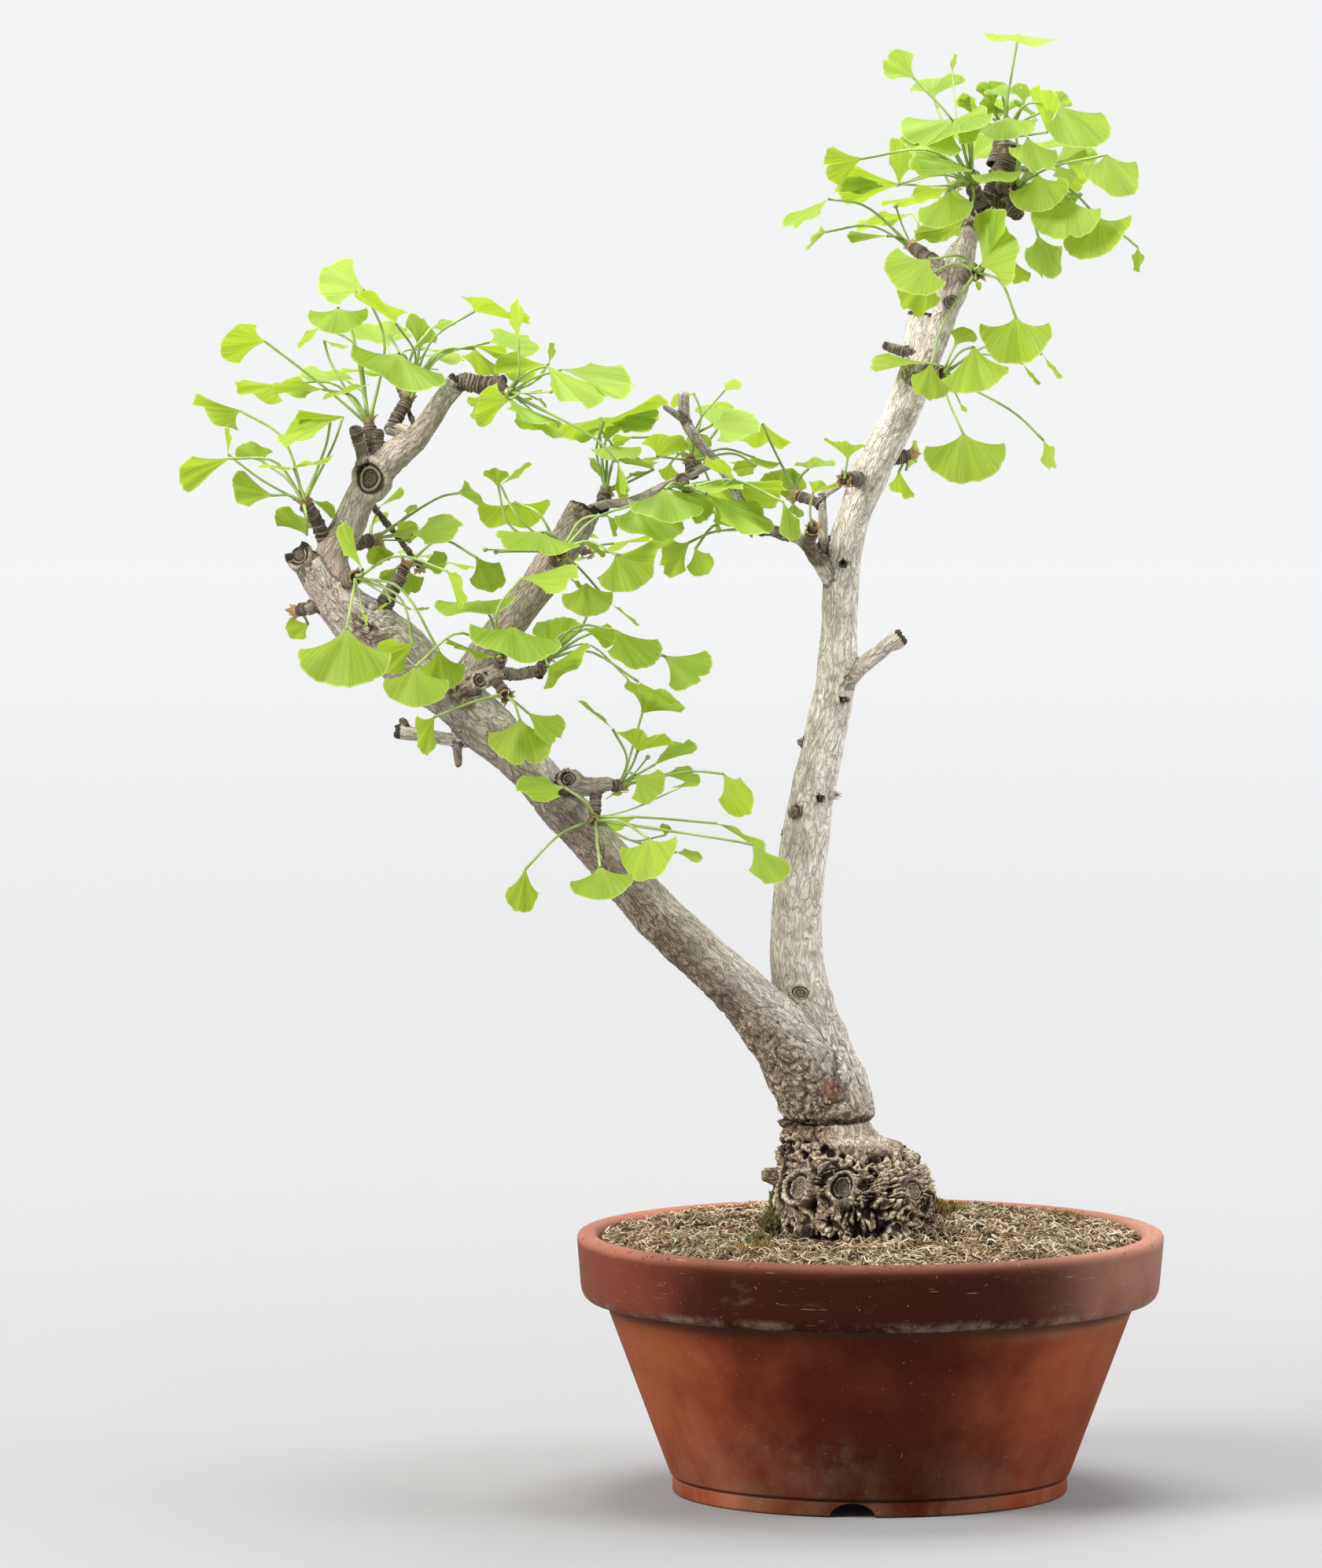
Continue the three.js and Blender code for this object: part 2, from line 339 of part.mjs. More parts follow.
const ownColours = {
  pot: new THREE.Color(0.36, 0.15, 0.09),
  soil: new THREE.Color(0.42, 0.33, 0.19),
  wood: new THREE.Color(0.42, 0.35, 0.27),
  leaf: new THREE.Color(0.42, 0.55, 0.09),
};

// The point of space that lies under a sheet point, at a depth behind the bowl's axis.
function atDepth(across, down, depth) {
  const ray = sheetInto.clone().multiplyScalar(sheetReach);
  ray.addScaledVector(sheetRight, across - sheetMiddle[0]);
  ray.addScaledVector(sheetUp, sheetMiddle[1] - down);
  return eyePoint.clone().addScaledVector(ray, (depth - eyePoint.y) / ray.y);
}

// A repeatable draw from 0 to 1, for one leaf and one purpose.
function chance(leaf, purpose) {
  const x = Math.sin(leaf * 127.1 + purpose * 311.7) * 43758.5453;
  return x - Math.floor(x);
}

function between(range, share) {
  return range[0] + (range[1] - range[0]) * share;
}

function solidOf(geometry) {
  geometry.deleteAttribute('normal');
  geometry.deleteAttribute('uv');
  const merged = mergeVertices(geometry, 1e-4);
  return new wasm.Manifold(new wasm.Mesh({
    numProp: 3,
    vertProperties: merged.attributes.position.array,
    triVerts: new Uint32Array(merged.index.array),
  }));
}

// Several solids joined to one closed body. A sealed hollow is filled and a loose scrap dropped.
function joined(solids) {
  const bodies = wasm.Manifold.union(solids).decompose();
  return bodies.reduce((most, body) => (body.volume() > most.volume() ? body : most));
}

function meshOf(name, solid, colour, roughness) {
  const { vertProperties, triVerts } = solid.getMesh();
  const geometry = new THREE.BufferGeometry();
  geometry.setAttribute('position', new THREE.BufferAttribute(vertProperties, 3));
  geometry.setIndex(new THREE.BufferAttribute(triVerts, 1));
  geometry.computeVertexNormals();
  const material = new THREE.MeshStandardMaterial({ color: colour, roughness, metalness: 0 });
  const mesh = new THREE.Mesh(geometry, material);
  mesh.name = name;
  return mesh;
}

// A bar with flat ends along a curve. radiusAt takes the share of the way along and the angle round the bar.
function bar(curve, radiusAt, sides, rings) {
  const geometry = new THREE.CylinderGeometry(1, 1, 1, sides, rings);
  const sideways = [];
  let side = new THREE.Vector3(0.31, -0.87, 0.38);
  for (let ring = 0; ring <= rings; ring += 1) {
    const along = curve.getTangent(ring / rings);
    side = side.clone().addScaledVector(along, -side.dot(along)).normalize();
    sideways.push({ along, side, other: side.clone().cross(along) });
  }
  const corner = new THREE.Vector3();
  const places = geometry.attributes.position;
  for (let i = 0; i < places.count; i += 1) {
    corner.fromBufferAttribute(places, i);
    const ring = Math.round((corner.y + 0.5) * rings);
    const { side: across, other } = sideways[ring];
    const radius = radiusAt(ring / rings, Math.atan2(corner.x, corner.z));
    const spot = curve.getPoint(ring / rings);
    spot.addScaledVector(across, corner.x * radius);
    spot.addScaledVector(other, corner.z * radius);
    places.setXYZ(i, spot.x, spot.y, spot.z);
  }
  return solidOf(geometry);
}

function smoothCurve(points) {
  return new THREE.CatmullRomCurve3(points, false, 'centripetal');
}

// A limb through sheet points, one ring of corners at each point. The trunk is fluted towards its foot.
function limb(points, sides, flute = 0, swell = 0) {
  const curve = smoothCurve(points.map(([across, down, depth]) => atDepth(across, down, depth)));
  const rings = points.length - 1;
  const radiusAt = (share, angle) => {
    const radius = points[Math.round(share * rings)][3] * sheetUnit / 2;
    const ridges = Math.sin(5 * angle + 9 * share) + 0.6 * Math.sin(3 * angle - 14 * share + 1);
    return radius * (1 + flute * Math.max(0, 1 - 2.2 * share) * ridges) + swell;
  };
  return bar(curve, radiusAt, sides, rings);
}

// A lathed solid about the bowl's axis, from [radius, height] points.
function turned(profile, sides) {
  const outline = profile.map(([radius, height]) => new THREE.Vector2(radius, height));
  return new THREE.LatheGeometry(outline, sides).rotateX(Math.PI / 2);
}

function potSolid() {
  const profile = [
    [footRadius - 13, footHeight - 2], [footRadius - 12.4, 0], [footRadius, 0],
    [footRadius, footHeight - 0.6], [footRadius - 1, footHeight + 0.2], [footRadius + 1.2, footHeight + 1.6],
    [rimRadius - 14.5, 98], [rimRadius - 6, 100.4], [rimRadius - 1.6, 107.4],
    [rimRadius, potHeight - 4.2], [rimRadius - 1.3, potHeight - 1], [rimRadius - 4.2, potHeight],
    [rimRadius - 8, potHeight - 0.3], [rimRadius - wallThickness, potHeight - 3.7],
    [rimRadius - 14.5 - wallThickness, 97], [footRadius - 9, 24], [footRadius - 17, 18], [drainRadius, 18],
    [drainRadius, footHeight], [footRadius - 15, footHeight], [footRadius - 13, footHeight - 2],
  ];
  let pot = solidOf(turned(profile, potSides));
  const arch = new THREE.Shape();
  arch.moveTo(-notchWidth / 2, -5);
  arch.lineTo(notchWidth / 2, -5);
  arch.absellipse(0, 0, notchWidth / 2, notchHeight, 0, Math.PI, false, 0);
  for (let i = 0; i < notchCount; i += 1) {
    const cutter = new THREE.ExtrudeGeometry(arch, { depth: 60, bevelEnabled: false, curveSegments: 8 });
    cutter.rotateX(Math.PI / 2).translate(0, -footRadius + 25, 0);
    cutter.rotateZ(THREE.MathUtils.degToRad(firstNotchAngle + 90 + 360 * i / notchCount));
    pot = pot.subtract(solidOf(cutter));
  }
  return pot;
}

// The soil fills the bowl to its wall and rises in soft lumps to a crown under the tree.
function soilSolid(rootHole) {
  const profile = [
    [0, 18 + soilGap], [footRadius - 17 - soilGap, 18 + soilGap], [footRadius - 9 - soilGap, 24.6],
    [rimRadius - 14.5 - wallThickness - soilGap, 97.4], [rimRadius - wallThickness - 1.6, soilEdgeHeight - 1.5],
    [rimRadius - wallThickness - 5, soilEdgeHeight], [113, soilEdgeHeight + 3.5], [88, soilEdgeHeight + 6.5],
    [64, soilCrownHeight - 2.5], [38, soilCrownHeight - 0.6], [0, soilCrownHeight],
  ];
  const geometry = turned(profile, potSides);
  const places = geometry.attributes.position;
  for (let i = 0; i < places.count; i += 1) {
    const x = places.getX(i);
    const y = places.getY(i);
    const open = places.getZ(i) >= soilEdgeHeight && Math.hypot(x, y) > 1;
    const lump = Math.sin(x / 9 + 1.3 * Math.sin(y / 11)) * Math.cos(y / 8 + Math.sin(x / 13));
    places.setZ(i, places.getZ(i) + (open ? soilLump * lump : 0));
  }
  return solidOf(geometry).subtract(rootHole);
}

// Where a leaf lies in space. a and w are the blade's middle line and its sideways half, as they show on the
// sheet. Both are the blade's length in truth, and square to each other, which gives their hidden depths.
function drawnPose(leaf, budDepth, slide) {
  const toSheet = ([across, down]) => new THREE.Vector2(across, -down);
  const root = toSheet(leaf.root);
  const left = toSheet(leaf.corners.slice(0, 2)).sub(root).multiplyScalar(sheetUnit);
  const right = toSheet(leaf.corners.slice(2, 4)).sub(root).multiplyScalar(sheetUnit);
  const chord = left.clone().add(right).multiplyScalar(0.5);
  const half = right.clone().sub(left).multiplyScalar(0.5);
  let a = null;
  let cosFan = Math.cos(THREE.MathUtils.degToRad(usualFanAngle));
  if (leaf.middle) {
    a = toSheet(leaf.middle).sub(root).multiplyScalar(sheetUnit);
    cosFan = THREE.MathUtils.clamp(chord.dot(a) / a.dot(a), -0.3, 0.75);
  } else {
    // A blade seen edge on ends at its corners as drawn; one seen open reaches on past them.
    const open = THREE.MathUtils.smoothstep(half.length() / Math.max(chord.length(), 0.1), 0.35, 1.3);
    a = chord.clone().divideScalar(THREE.MathUtils.lerp(0.96, cosFan, open));
  }
  const fan = Math.acos(cosFan);
  const w = half.clone().divideScalar(Math.sin(fan));
  const aa = a.dot(a);
  const ww = w.dot(w);
  const aw = a.dot(w);
  let length = Math.sqrt((aa + ww + Math.sqrt((aa - ww) ** 2 + 4 * aw * aw)) / 2);
  length = Math.min(length, 1.2 * Math.sqrt(Math.max(aa, ww)));
  const towards = leaf.depth < 0 ? -1 : 1;
  const aDepth = towards * Math.sqrt(Math.max(length * length - aa, 0));
  let wDepth = Math.sqrt(Math.max(length * length - ww, 0));
  if (aw * aDepth > 0) {
    wDepth = -wDepth;
  }
  const inSpace = (flat, depth) => new THREE.Vector3().addScaledVector(sheetRight, flat.x)
    .addScaledVector(sheetUp, flat.y).addScaledVector(sheetInto, depth);
  return {
    root: atDepth(leaf.root[0], leaf.root[1], budDepth + leaf.depth + slide),
    ahead: inSpace(a, aDepth),
    across: inSpace(w, wDepth),
    fan,
    length,
  };
}

// A leaf at the back, drawn at random round its spur's direction.
function drawnAtRandom(number, bud, along, slide) {
  const turn = 2 * Math.PI * (number * 0.382 + 0.1 * chance(number, 11));
  const lean = THREE.MathUtils.degToRad(backSpread) * (0.35 + 0.65 * chance(number, 12));
  const side = new THREE.Vector3(0, 0, 1).cross(along).normalize();
  const other = along.clone().cross(side);
  const out = along.clone().multiplyScalar(Math.cos(lean));
  out.addScaledVector(side, Math.sin(lean) * Math.cos(turn));
  out.addScaledVector(other, Math.sin(lean) * Math.sin(turn));
  const length = between(backBlade, chance(number, 13));
  const ahead = out.clone().add(new THREE.Vector3(0, 0.25, -0.55 * chance(number, 14))).normalize();
  const across = new THREE.Vector3(1, 0.2, 0.5 * (chance(number, 15) - 0.5));
  across.addScaledVector(ahead, -across.dot(ahead)).normalize();
  const root = bud.clone().addScaledVector(out, between(backStalk, chance(number, 16)));
  root.y += slide;
  return {
    root,
    ahead: ahead.multiplyScalar(length),
    across: across.multiplyScalar(length),
    fan: THREE.MathUtils.degToRad(usualFanAngle),
    length,
  };
}

// Where inside its bud a stalk starts: on the side that it leaves by.
function stalkStart(end, bud, along, share) {
  const out = end.clone().sub(bud);
  out.addScaledVector(along, -out.dot(along)).normalize();
  return bud.clone().addScaledVector(along, budHeight * share).addScaledVector(out, 0.3 * budRadius);
}

// The stalk leaves the bud along the spur and comes to the blade along its middle line.
function stalkCurve(pose, number, bud, along, over, swerve) {
  const start = stalkStart(pose.root, bud, along, 0.2 + 0.65 * (0.618 * number % 1));
  const ahead = pose.ahead.clone().normalize();
  const span = start.distanceTo(pose.root);
  let bow = over;
  if (!bow) {
    bow = start.clone().lerp(pose.root, 0.5);
    bow.addScaledVector(along, span * 0.12).addScaledVector(ahead, -span * 0.16);
    bow.z += span * 0.06;
  }
  bow.y += swerve;
  return smoothCurve([start, bow, pose.root]);
}

// The outer edge of a blade: points from one corner to the other. It is cut in shallow lobes, with a cleft in the
// middle of some, and it is cupped and waved.
function bladeEdge(pose, number, normal, grow) {
  const fewer = pose.length < tinyBlade ? 2 : 4;
  const parts = pose.length < smallBlade ? fewer : 6;
  const cup = 0.34 * (chance(number, 1) - 0.35);
  const wave = 0.05 + 0.05 * chance(number, 2);
  const phase = 2 * Math.PI * chance(number, 3);
  const cleft = chance(number, 4) < 0.45 ? 0.16 : 0.03;
  return Array.from({ length: parts + 1 }, (_, i) => {
    const share = 2 * i / parts - 1;
    const lobes = 0.035 * Math.sin(3 * Math.PI * share + phase) * (1 - share * share);
    const radius = grow * (1 + lobes - (share === 0 ? cleft : 0));
    const ripple = wave * Math.sin(2.5 * Math.PI * share + phase) * (1 - 0.5 * share * share);
    const lift = pose.length * (cup * (share * share - 0.5) + ripple);
    return pose.root.clone()
      .addScaledVector(pose.ahead, radius * Math.cos(share * pose.fan))
      .addScaledVector(pose.across, radius * Math.sin(share * pose.fan))
      .addScaledVector(normal, lift);
  });
}

// A leaf is a three-sided stalk that opens into a thin fan of facets. Its faces above and below share one pattern
// of triangles. Either half is also made alone, thicker by extra, to find a leaf its place.
function leafSolid(pose, number, curve, half = 'both', extra = 0) {
  const normal = pose.ahead.clone().cross(pose.across).normalize();
  const places = [];
  const faces = [];
  const rings = half === 'blade' ? 0 : stalkRings(curve);
  const radius = stalkRadius + extra;
  let along = pose.ahead.clone().normalize();
  let side = pose.across;
  for (let ring = rings; ring >= 0; ring -= 1) {
    const share = rings > 0 ? ring / rings : 1;
    along = ring < rings ? curve.getTangent(share) : along;
    side = side.clone().addScaledVector(along, -side.dot(along)).normalize();
    const under = along.clone().cross(side).multiplyScalar(radius);
    const spot = curve.getPoint(share);
    places.unshift(
      spot.clone().addScaledVector(side, -radius).addScaledVector(under, -0.5),
      spot.clone().addScaledVector(side, radius).addScaledVector(under, -0.5),
      spot.clone().add(under),
    );
  }
  for (let ring = 1; ring <= rings; ring += 1) {
    const [p, q] = [3 * (ring - 1), 3 * ring];
    for (let k = 0; k < 3; k += 1) {
      const next = (k + 1) % 3;
      faces.push(p + k, p + next, q + k, p + next, q + next, q + k);
    }
  }
  faces.push(0, 2, 1);
  const [left, right, bottom] = [3 * rings, 3 * rings + 1, 3 * rings + 2];
  if (half === 'stalk') {
    faces.push(left, right, bottom);
    return facetedSolid(places, faces);
  }
  const thick = bladeThickness / 2 + extra;
  const edge = bladeEdge(pose, number, normal, 1 + extra / pose.length);
  const first = places.length;
  edge.forEach((spot) => places.push(
    spot.clone().addScaledVector(normal, -thick),
    spot.clone().addScaledVector(normal, thick),
  ));
  const parts = edge.length - 1;
  const [upper, lower] = [(i) => first + 2 * i, (i) => first + 2 * i + 1];
  for (let i = 0; i < parts; i += 1) {
    faces.push(i < parts / 2 ? left : right, upper(i + 1), upper(i));
    faces.push(bottom, lower(i), lower(i + 1));
    faces.push(upper(i), upper(i + 1), lower(i), upper(i + 1), lower(i + 1), lower(i));
  }
  faces.push(left, right, upper(parts / 2));
  faces.push(left, upper(0), lower(0), left, lower(0), bottom);
  faces.push(right, lower(parts), upper(parts), right, bottom, lower(parts));
  return facetedSolid(places, faces);
}

function stalkRings(curve) {
  const [start, , end] = curve.points;
  return start.distanceTo(end) > longStalk ? 2 : 1;
}

function facetedSolid(places, faces) {
  const geometry = new THREE.BufferGeometry().setFromPoints(places);
  geometry.setIndex(faces);
  return solidOf(geometry);
}

function budSolid(bud, along) {
  const top = bud.clone().addScaledVector(along, budHeight);
  return bar(new THREE.LineCurve3(bud, top), (share) => budRadius * (1 - 0.45 * share), 4, 1);
}

function meets(solids, others) {
  const near = (a, b) => {
    const [p, q] = [a.boundingBox(), b.boundingBox()];
    return [0, 1, 2].every((k) => p.min[k] <= q.max[k] && q.min[k] <= p.max[k]);
  };
  return solids.some((a) => others.some((b) => near(a, b) && !a.intersect(b).isEmpty()));
}

// The places that a leaf may take: slides along its depth, nearest first, and first towards the side that it
// leans to, each with the ways that its stalk may swerve.
function placesFor(towards) {
  const slides = [0];
  for (let i = 1; i <= settleSteps; i += 1) {
    slides.push(i * settleStep * towards, -i * settleStep * towards / 2);
  }
  return slides.flatMap((slide) => stalkSwerves.map((swerve) => [slide, swerve]));
}

// The spray is made leaf by leaf. Each slides in depth until it is clear of the wood, the other sprays and the
// blades of its own spray.
function spraySolid(spray, firstNumber, standing) {
  const bud = atDepth(...spray.bud);
  const along = bud.clone().sub(atDepth(...spray.spur.slice(0, 3))).normalize();
  const own = [budSolid(bud, along)];
  const ownBlades = [];
  const ownStalks = [];
  const leaves = spray.leaves ?? Array.from({ length: spray.count }, () => ({ depth: 1 }));
  leaves.forEach((leaf, i) => {
    const number = firstNumber + i;
    const made = ([slide, swerve], ...how) => {
      const pose = leaf.root ? drawnPose(leaf, spray.bud[2], slide) : drawnAtRandom(number, bud, along, slide);
      const over = leaf.over && atDepth(leaf.over[0], leaf.over[1], spray.bud[2] + leaf.over[2] + slide);
      return leafSolid(pose, number, stalkCurve(pose, number, bud, along, over, swerve), ...how);
    };
    const clear = (place, strictly) => {
      const blade = made(place, 'blade', clearance);
      const stalk = made(place, 'stalk', clearance);
      return !meets([blade, stalk], standing) && !meets([blade], ownBlades)
        && !(strictly && (meets([blade], ownStalks) || meets([stalk], ownBlades)));
    };
    if (leaf.root && drawnPose(leaf, spray.bud[2], 0).length < leastBlade) {
      return;
    }
    const places = placesFor(leaf.depth < 0 ? -1 : 1);
    const settled = places.find((place) => clear(place, true)) ?? places.find((place) => clear(place, false));
    if (settled === undefined) {
      console.warn(`${spray.name}: leaf ${i} finds no clear place`);
      return;
    }
    ownBlades.push(made(settled, 'blade'));
    ownStalks.push(made(settled, 'stalk'));
    own.push(made(settled));
  });
  return joined(own);
}

// The spur that carries a spray ends a little short of its bud.
function spurSolid({ bud, spur }) {
  const end = atDepth(...bud);
  const start = atDepth(...spur.slice(0, 3));
  const along = end.clone().sub(start).normalize();
  end.addScaledVector(along, -budGap);
  const radius = spur[3] * sheetUnit / 2;
  return bar(new THREE.LineCurve3(start, end), (share) => radius * (1 - 0.12 * share), 4, 1);
}

function woodSolid() {
  const solids = limbs.map(([, sides, ...points], i) => limb(points, sides, i === 0 ? 0.055 : 0));
  return joined([...solids, ...[...sprays, ...backSprays].map(spurSolid)]);
}

// The hole in the soil has the trunk's own foot, a little larger all round and a little deeper.
function rootHoleSolid() {
  const [, sides, ...trunk] = limbs[0];
  const foot = trunk.map(([across, down, depth, width]) => [across, down, depth, width]);
  foot[0][1] += 2;
  return limb(foot, sides, 0.055, rootHoleGap);
}

const bonsai = new THREE.Group();
const pot = potSolid();
const soil = soilSolid(rootHoleSolid());
const wood = woodSolid();
bonsai.add(meshOf('pot', pot, ownColours.pot, 0.85));
bonsai.add(meshOf('soil', soil, ownColours.soil, 1));
bonsai.add(meshOf('wood', wood, ownColours.wood, 0.9));

const standing = [wood, soil, pot];
let leafNumber = 1;
// Every bud stands before the first leaf is settled, so no leaf runs through one.
const allSprays = [...sprays, ...backSprays];
const buds = allSprays.map((spray) => {
  const bud = atDepth(...spray.bud);
  return budSolid(bud, bud.clone().sub(atDepth(...spray.spur.slice(0, 3))).normalize());
});
allSprays.forEach((spray, i) => {
  const others = buds.filter((bud, k) => k > i);
  const solid = spraySolid(spray, leafNumber, [...standing, ...others]);
  leafNumber += spray.leaves ? spray.leaves.length : spray.count;
  standing.push(solid);
  const colour = ownColours.leaf.clone().offsetHSL(0.02 * (chance(i, 21) - 0.5), 0, 0.06 * (chance(i, 22) - 0.5));
  bonsai.add(meshOf(spray.name, solid, colour, 0.6));
});

// The whole outline's middle comes to the origin.
const outline = new THREE.Box3().setFromObject(bonsai);
const middle = outline.getCenter(new THREE.Vector3());
bonsai.position.set(-middle.x, -middle.y, -outline.min.z);

export default bonsai;
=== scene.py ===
# A ginkgo bonsai in a terracotta bowl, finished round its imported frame. Metres, +Z up; the tree faces -Y.
import math
import random

import bmesh
import bpy
import numpy as np
from mathutils import Matrix, Vector, noise
from mathutils.bvhtree import BVHTree
from mathutils.kdtree import KDTree


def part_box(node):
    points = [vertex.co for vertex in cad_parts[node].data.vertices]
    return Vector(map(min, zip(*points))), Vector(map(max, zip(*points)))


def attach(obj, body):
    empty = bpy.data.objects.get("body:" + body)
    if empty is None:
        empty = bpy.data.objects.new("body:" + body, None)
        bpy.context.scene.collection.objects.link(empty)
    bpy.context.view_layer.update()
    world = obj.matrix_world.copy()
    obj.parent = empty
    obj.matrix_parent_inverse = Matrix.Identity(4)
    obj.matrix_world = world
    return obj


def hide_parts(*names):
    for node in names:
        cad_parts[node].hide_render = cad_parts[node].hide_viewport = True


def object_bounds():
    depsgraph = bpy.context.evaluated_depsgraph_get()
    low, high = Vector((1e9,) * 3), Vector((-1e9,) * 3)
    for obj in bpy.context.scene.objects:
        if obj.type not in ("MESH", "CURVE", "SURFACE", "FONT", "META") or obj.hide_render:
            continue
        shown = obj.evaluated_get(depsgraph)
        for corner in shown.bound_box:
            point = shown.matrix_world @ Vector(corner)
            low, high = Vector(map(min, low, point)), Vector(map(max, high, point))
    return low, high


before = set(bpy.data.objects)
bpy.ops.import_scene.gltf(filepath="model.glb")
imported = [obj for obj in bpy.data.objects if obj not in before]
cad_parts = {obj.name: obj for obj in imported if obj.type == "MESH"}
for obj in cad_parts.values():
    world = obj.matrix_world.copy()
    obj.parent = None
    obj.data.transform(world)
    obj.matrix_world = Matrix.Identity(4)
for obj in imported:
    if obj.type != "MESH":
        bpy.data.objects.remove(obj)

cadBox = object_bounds()
noise.seed_set(7)  # noise_vector draws its offsets from this seed
potLow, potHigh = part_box("pot")
potX = (potLow.x + potHigh.x) / 2
mm = 0.001
goldenTurn = 0.382  # the share of a full turn from one leaf or scale to the next

# The tree is set out on a front elevation sheet drawn in perspective. Sheet points are (across, down) in sheet
# units, and a depth in millimetres says how far behind the bowl's axis each lies.
sheet = {
    "eye": Vector((potX - 0.1067, -5.58, 0.797)), "aim": Vector((potX - 0.1067, 0, 0.3618)),
    "middle": (840.5, 997), "height": 1994, "unit": 0.0004,
}
sheetReach = (sheet["aim"] - sheet["eye"]).length / sheet["unit"]
sheetInto = (sheet["aim"] - sheet["eye"]).normalized()
sheetRight = Vector((1, 0, 0))
sheetUp = sheetRight.cross(sheetInto)
widthToRadius = sheet["unit"] / 2


def rayThrough(across, down):
    ray = sheetInto * sheetReach
    ray += sheetRight * (across - sheet["middle"][0])
    return ray + sheetUp * (sheet["middle"][1] - down)


def atDepth(across, down, depth):
    ray = rayThrough(across, down)
    return sheet["eye"] + ray * ((depth * mm - sheet["eye"].y) / ray.y)


def curvePoint(points, share):
    # on a centripetal curve through the points
    last = len(points) - 1
    i = min(int(share * last), last - 1)
    w = share * last - i
    b, c = points[i], points[i + 1]
    a = points[i - 1] if i else b * 2 - c
    d = points[i + 2] if i + 2 <= last else c * 2 - b
    before, between, after = ((q - p).length ** 0.5 or 1 for p, q in ((a, b), (b, c), (c, d)))
    leave = ((b - a) / before - (c - a) / (before + between) + (c - b) / between) * between
    arrive = ((c - b) / between - (d - b) / (between + after) + (d - c) / after) * between
    bend = (c - b) * 3 - leave * 2 - arrive
    return b + leave * w + bend * w ** 2 + ((b - c) * 2 + leave + arrive) * w ** 3


def mixed(a, b, share):
    return a + (b - a) * share


def smooth(value, low, high):
    # 0 at low, 1 at high, eased
    share = min(max((value - low) / (high - low), 0), 1)
    return share * share * (3 - 2 * share)


def tubes(name, runs, resolution, capped=False):
    # a mesh with one tube along each run of (place, radius)
    curve = bpy.data.curves.new(name, "CURVE")
    curve.dimensions = "3D"
    curve.bevel_depth = 1
    curve.bevel_resolution = resolution
    curve.use_fill_caps = capped
    for run in runs:
        spline = curve.splines.new("POLY")
        spline.points.add(len(run) - 1)
        for spot, (place, radius) in zip(spline.points, run):
            spot.co = (*place, 1)
            spot.radius = radius
    holder = bpy.data.objects.new(name, curve)
    mesh = bpy.data.meshes.new_from_object(holder)
    bpy.data.objects.remove(holder)
    bpy.data.curves.remove(curve)
    return mesh


def newPiece(name, mesh, materials, slotName, *nodes):
    piece = bpy.data.objects.new(name, mesh)
    bpy.context.scene.collection.objects.link(piece)
    for material in materials:
        mesh.materials.append(material)
    if slotName:
        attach(piece, "root")
        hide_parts(*nodes)
    return piece


def meshFrom(bm, name):
    mesh = bpy.data.meshes.new(name)
    bm.to_mesh(mesh)
    bm.free()
    return mesh


def applied(mesh, name, **modifiers):
    # the mesh with modifiers made real
    holder = bpy.data.objects.new(name, mesh)
    bpy.context.scene.collection.objects.link(holder)
    for kind, settings in modifiers.items():
        modifier = holder.modifiers.new(kind, kind)
        for key, value in settings.items():
            setattr(modifier, key, value)
    graph = bpy.context.evaluated_depsgraph_get()
    result = bpy.data.meshes.new_from_object(holder.evaluated_get(graph))
    bpy.data.objects.remove(holder)
    return result


def pointAttribute(mesh, name, values, kind="FLOAT"):
    layer = mesh.attributes.new(name, kind, "POINT")
    key = "vector" if kind == "FLOAT_VECTOR" else "value"
    layer.data.foreach_set(key, np.asarray(values, np.float32).ravel())


class Wire:
    # a socket, or a number, that adds Math nodes as it is worked with
    def __init__(self, maker, socket):
        self.maker, self.socket = maker, socket

    def __add__(self, other): return self.maker.math("ADD", self, other)
    def __radd__(self, other): return self.maker.math("ADD", other, self)
    def __sub__(self, other): return self.maker.math("SUBTRACT", self, other)
    def __rsub__(self, other): return self.maker.math("SUBTRACT", other, self)
    def __mul__(self, other): return self.maker.math("MULTIPLY", self, other)
    def __rmul__(self, other): return self.maker.math("MULTIPLY", other, self)
    def __truediv__(self, other): return self.maker.math("DIVIDE", self, other)
    def __rtruediv__(self, other): return self.maker.math("DIVIDE", other, self)
    def __pow__(self, other): return self.maker.math("POWER", self, other)

    def between(self, low, high):
        # 0 at low, 1 at high, eased
        settings = {"interpolation_type": "SMOOTHSTEP", "clamp": True}
        return self.maker.node("ShaderNodeMapRange", settings, {0: self, 1: low, 2: high})


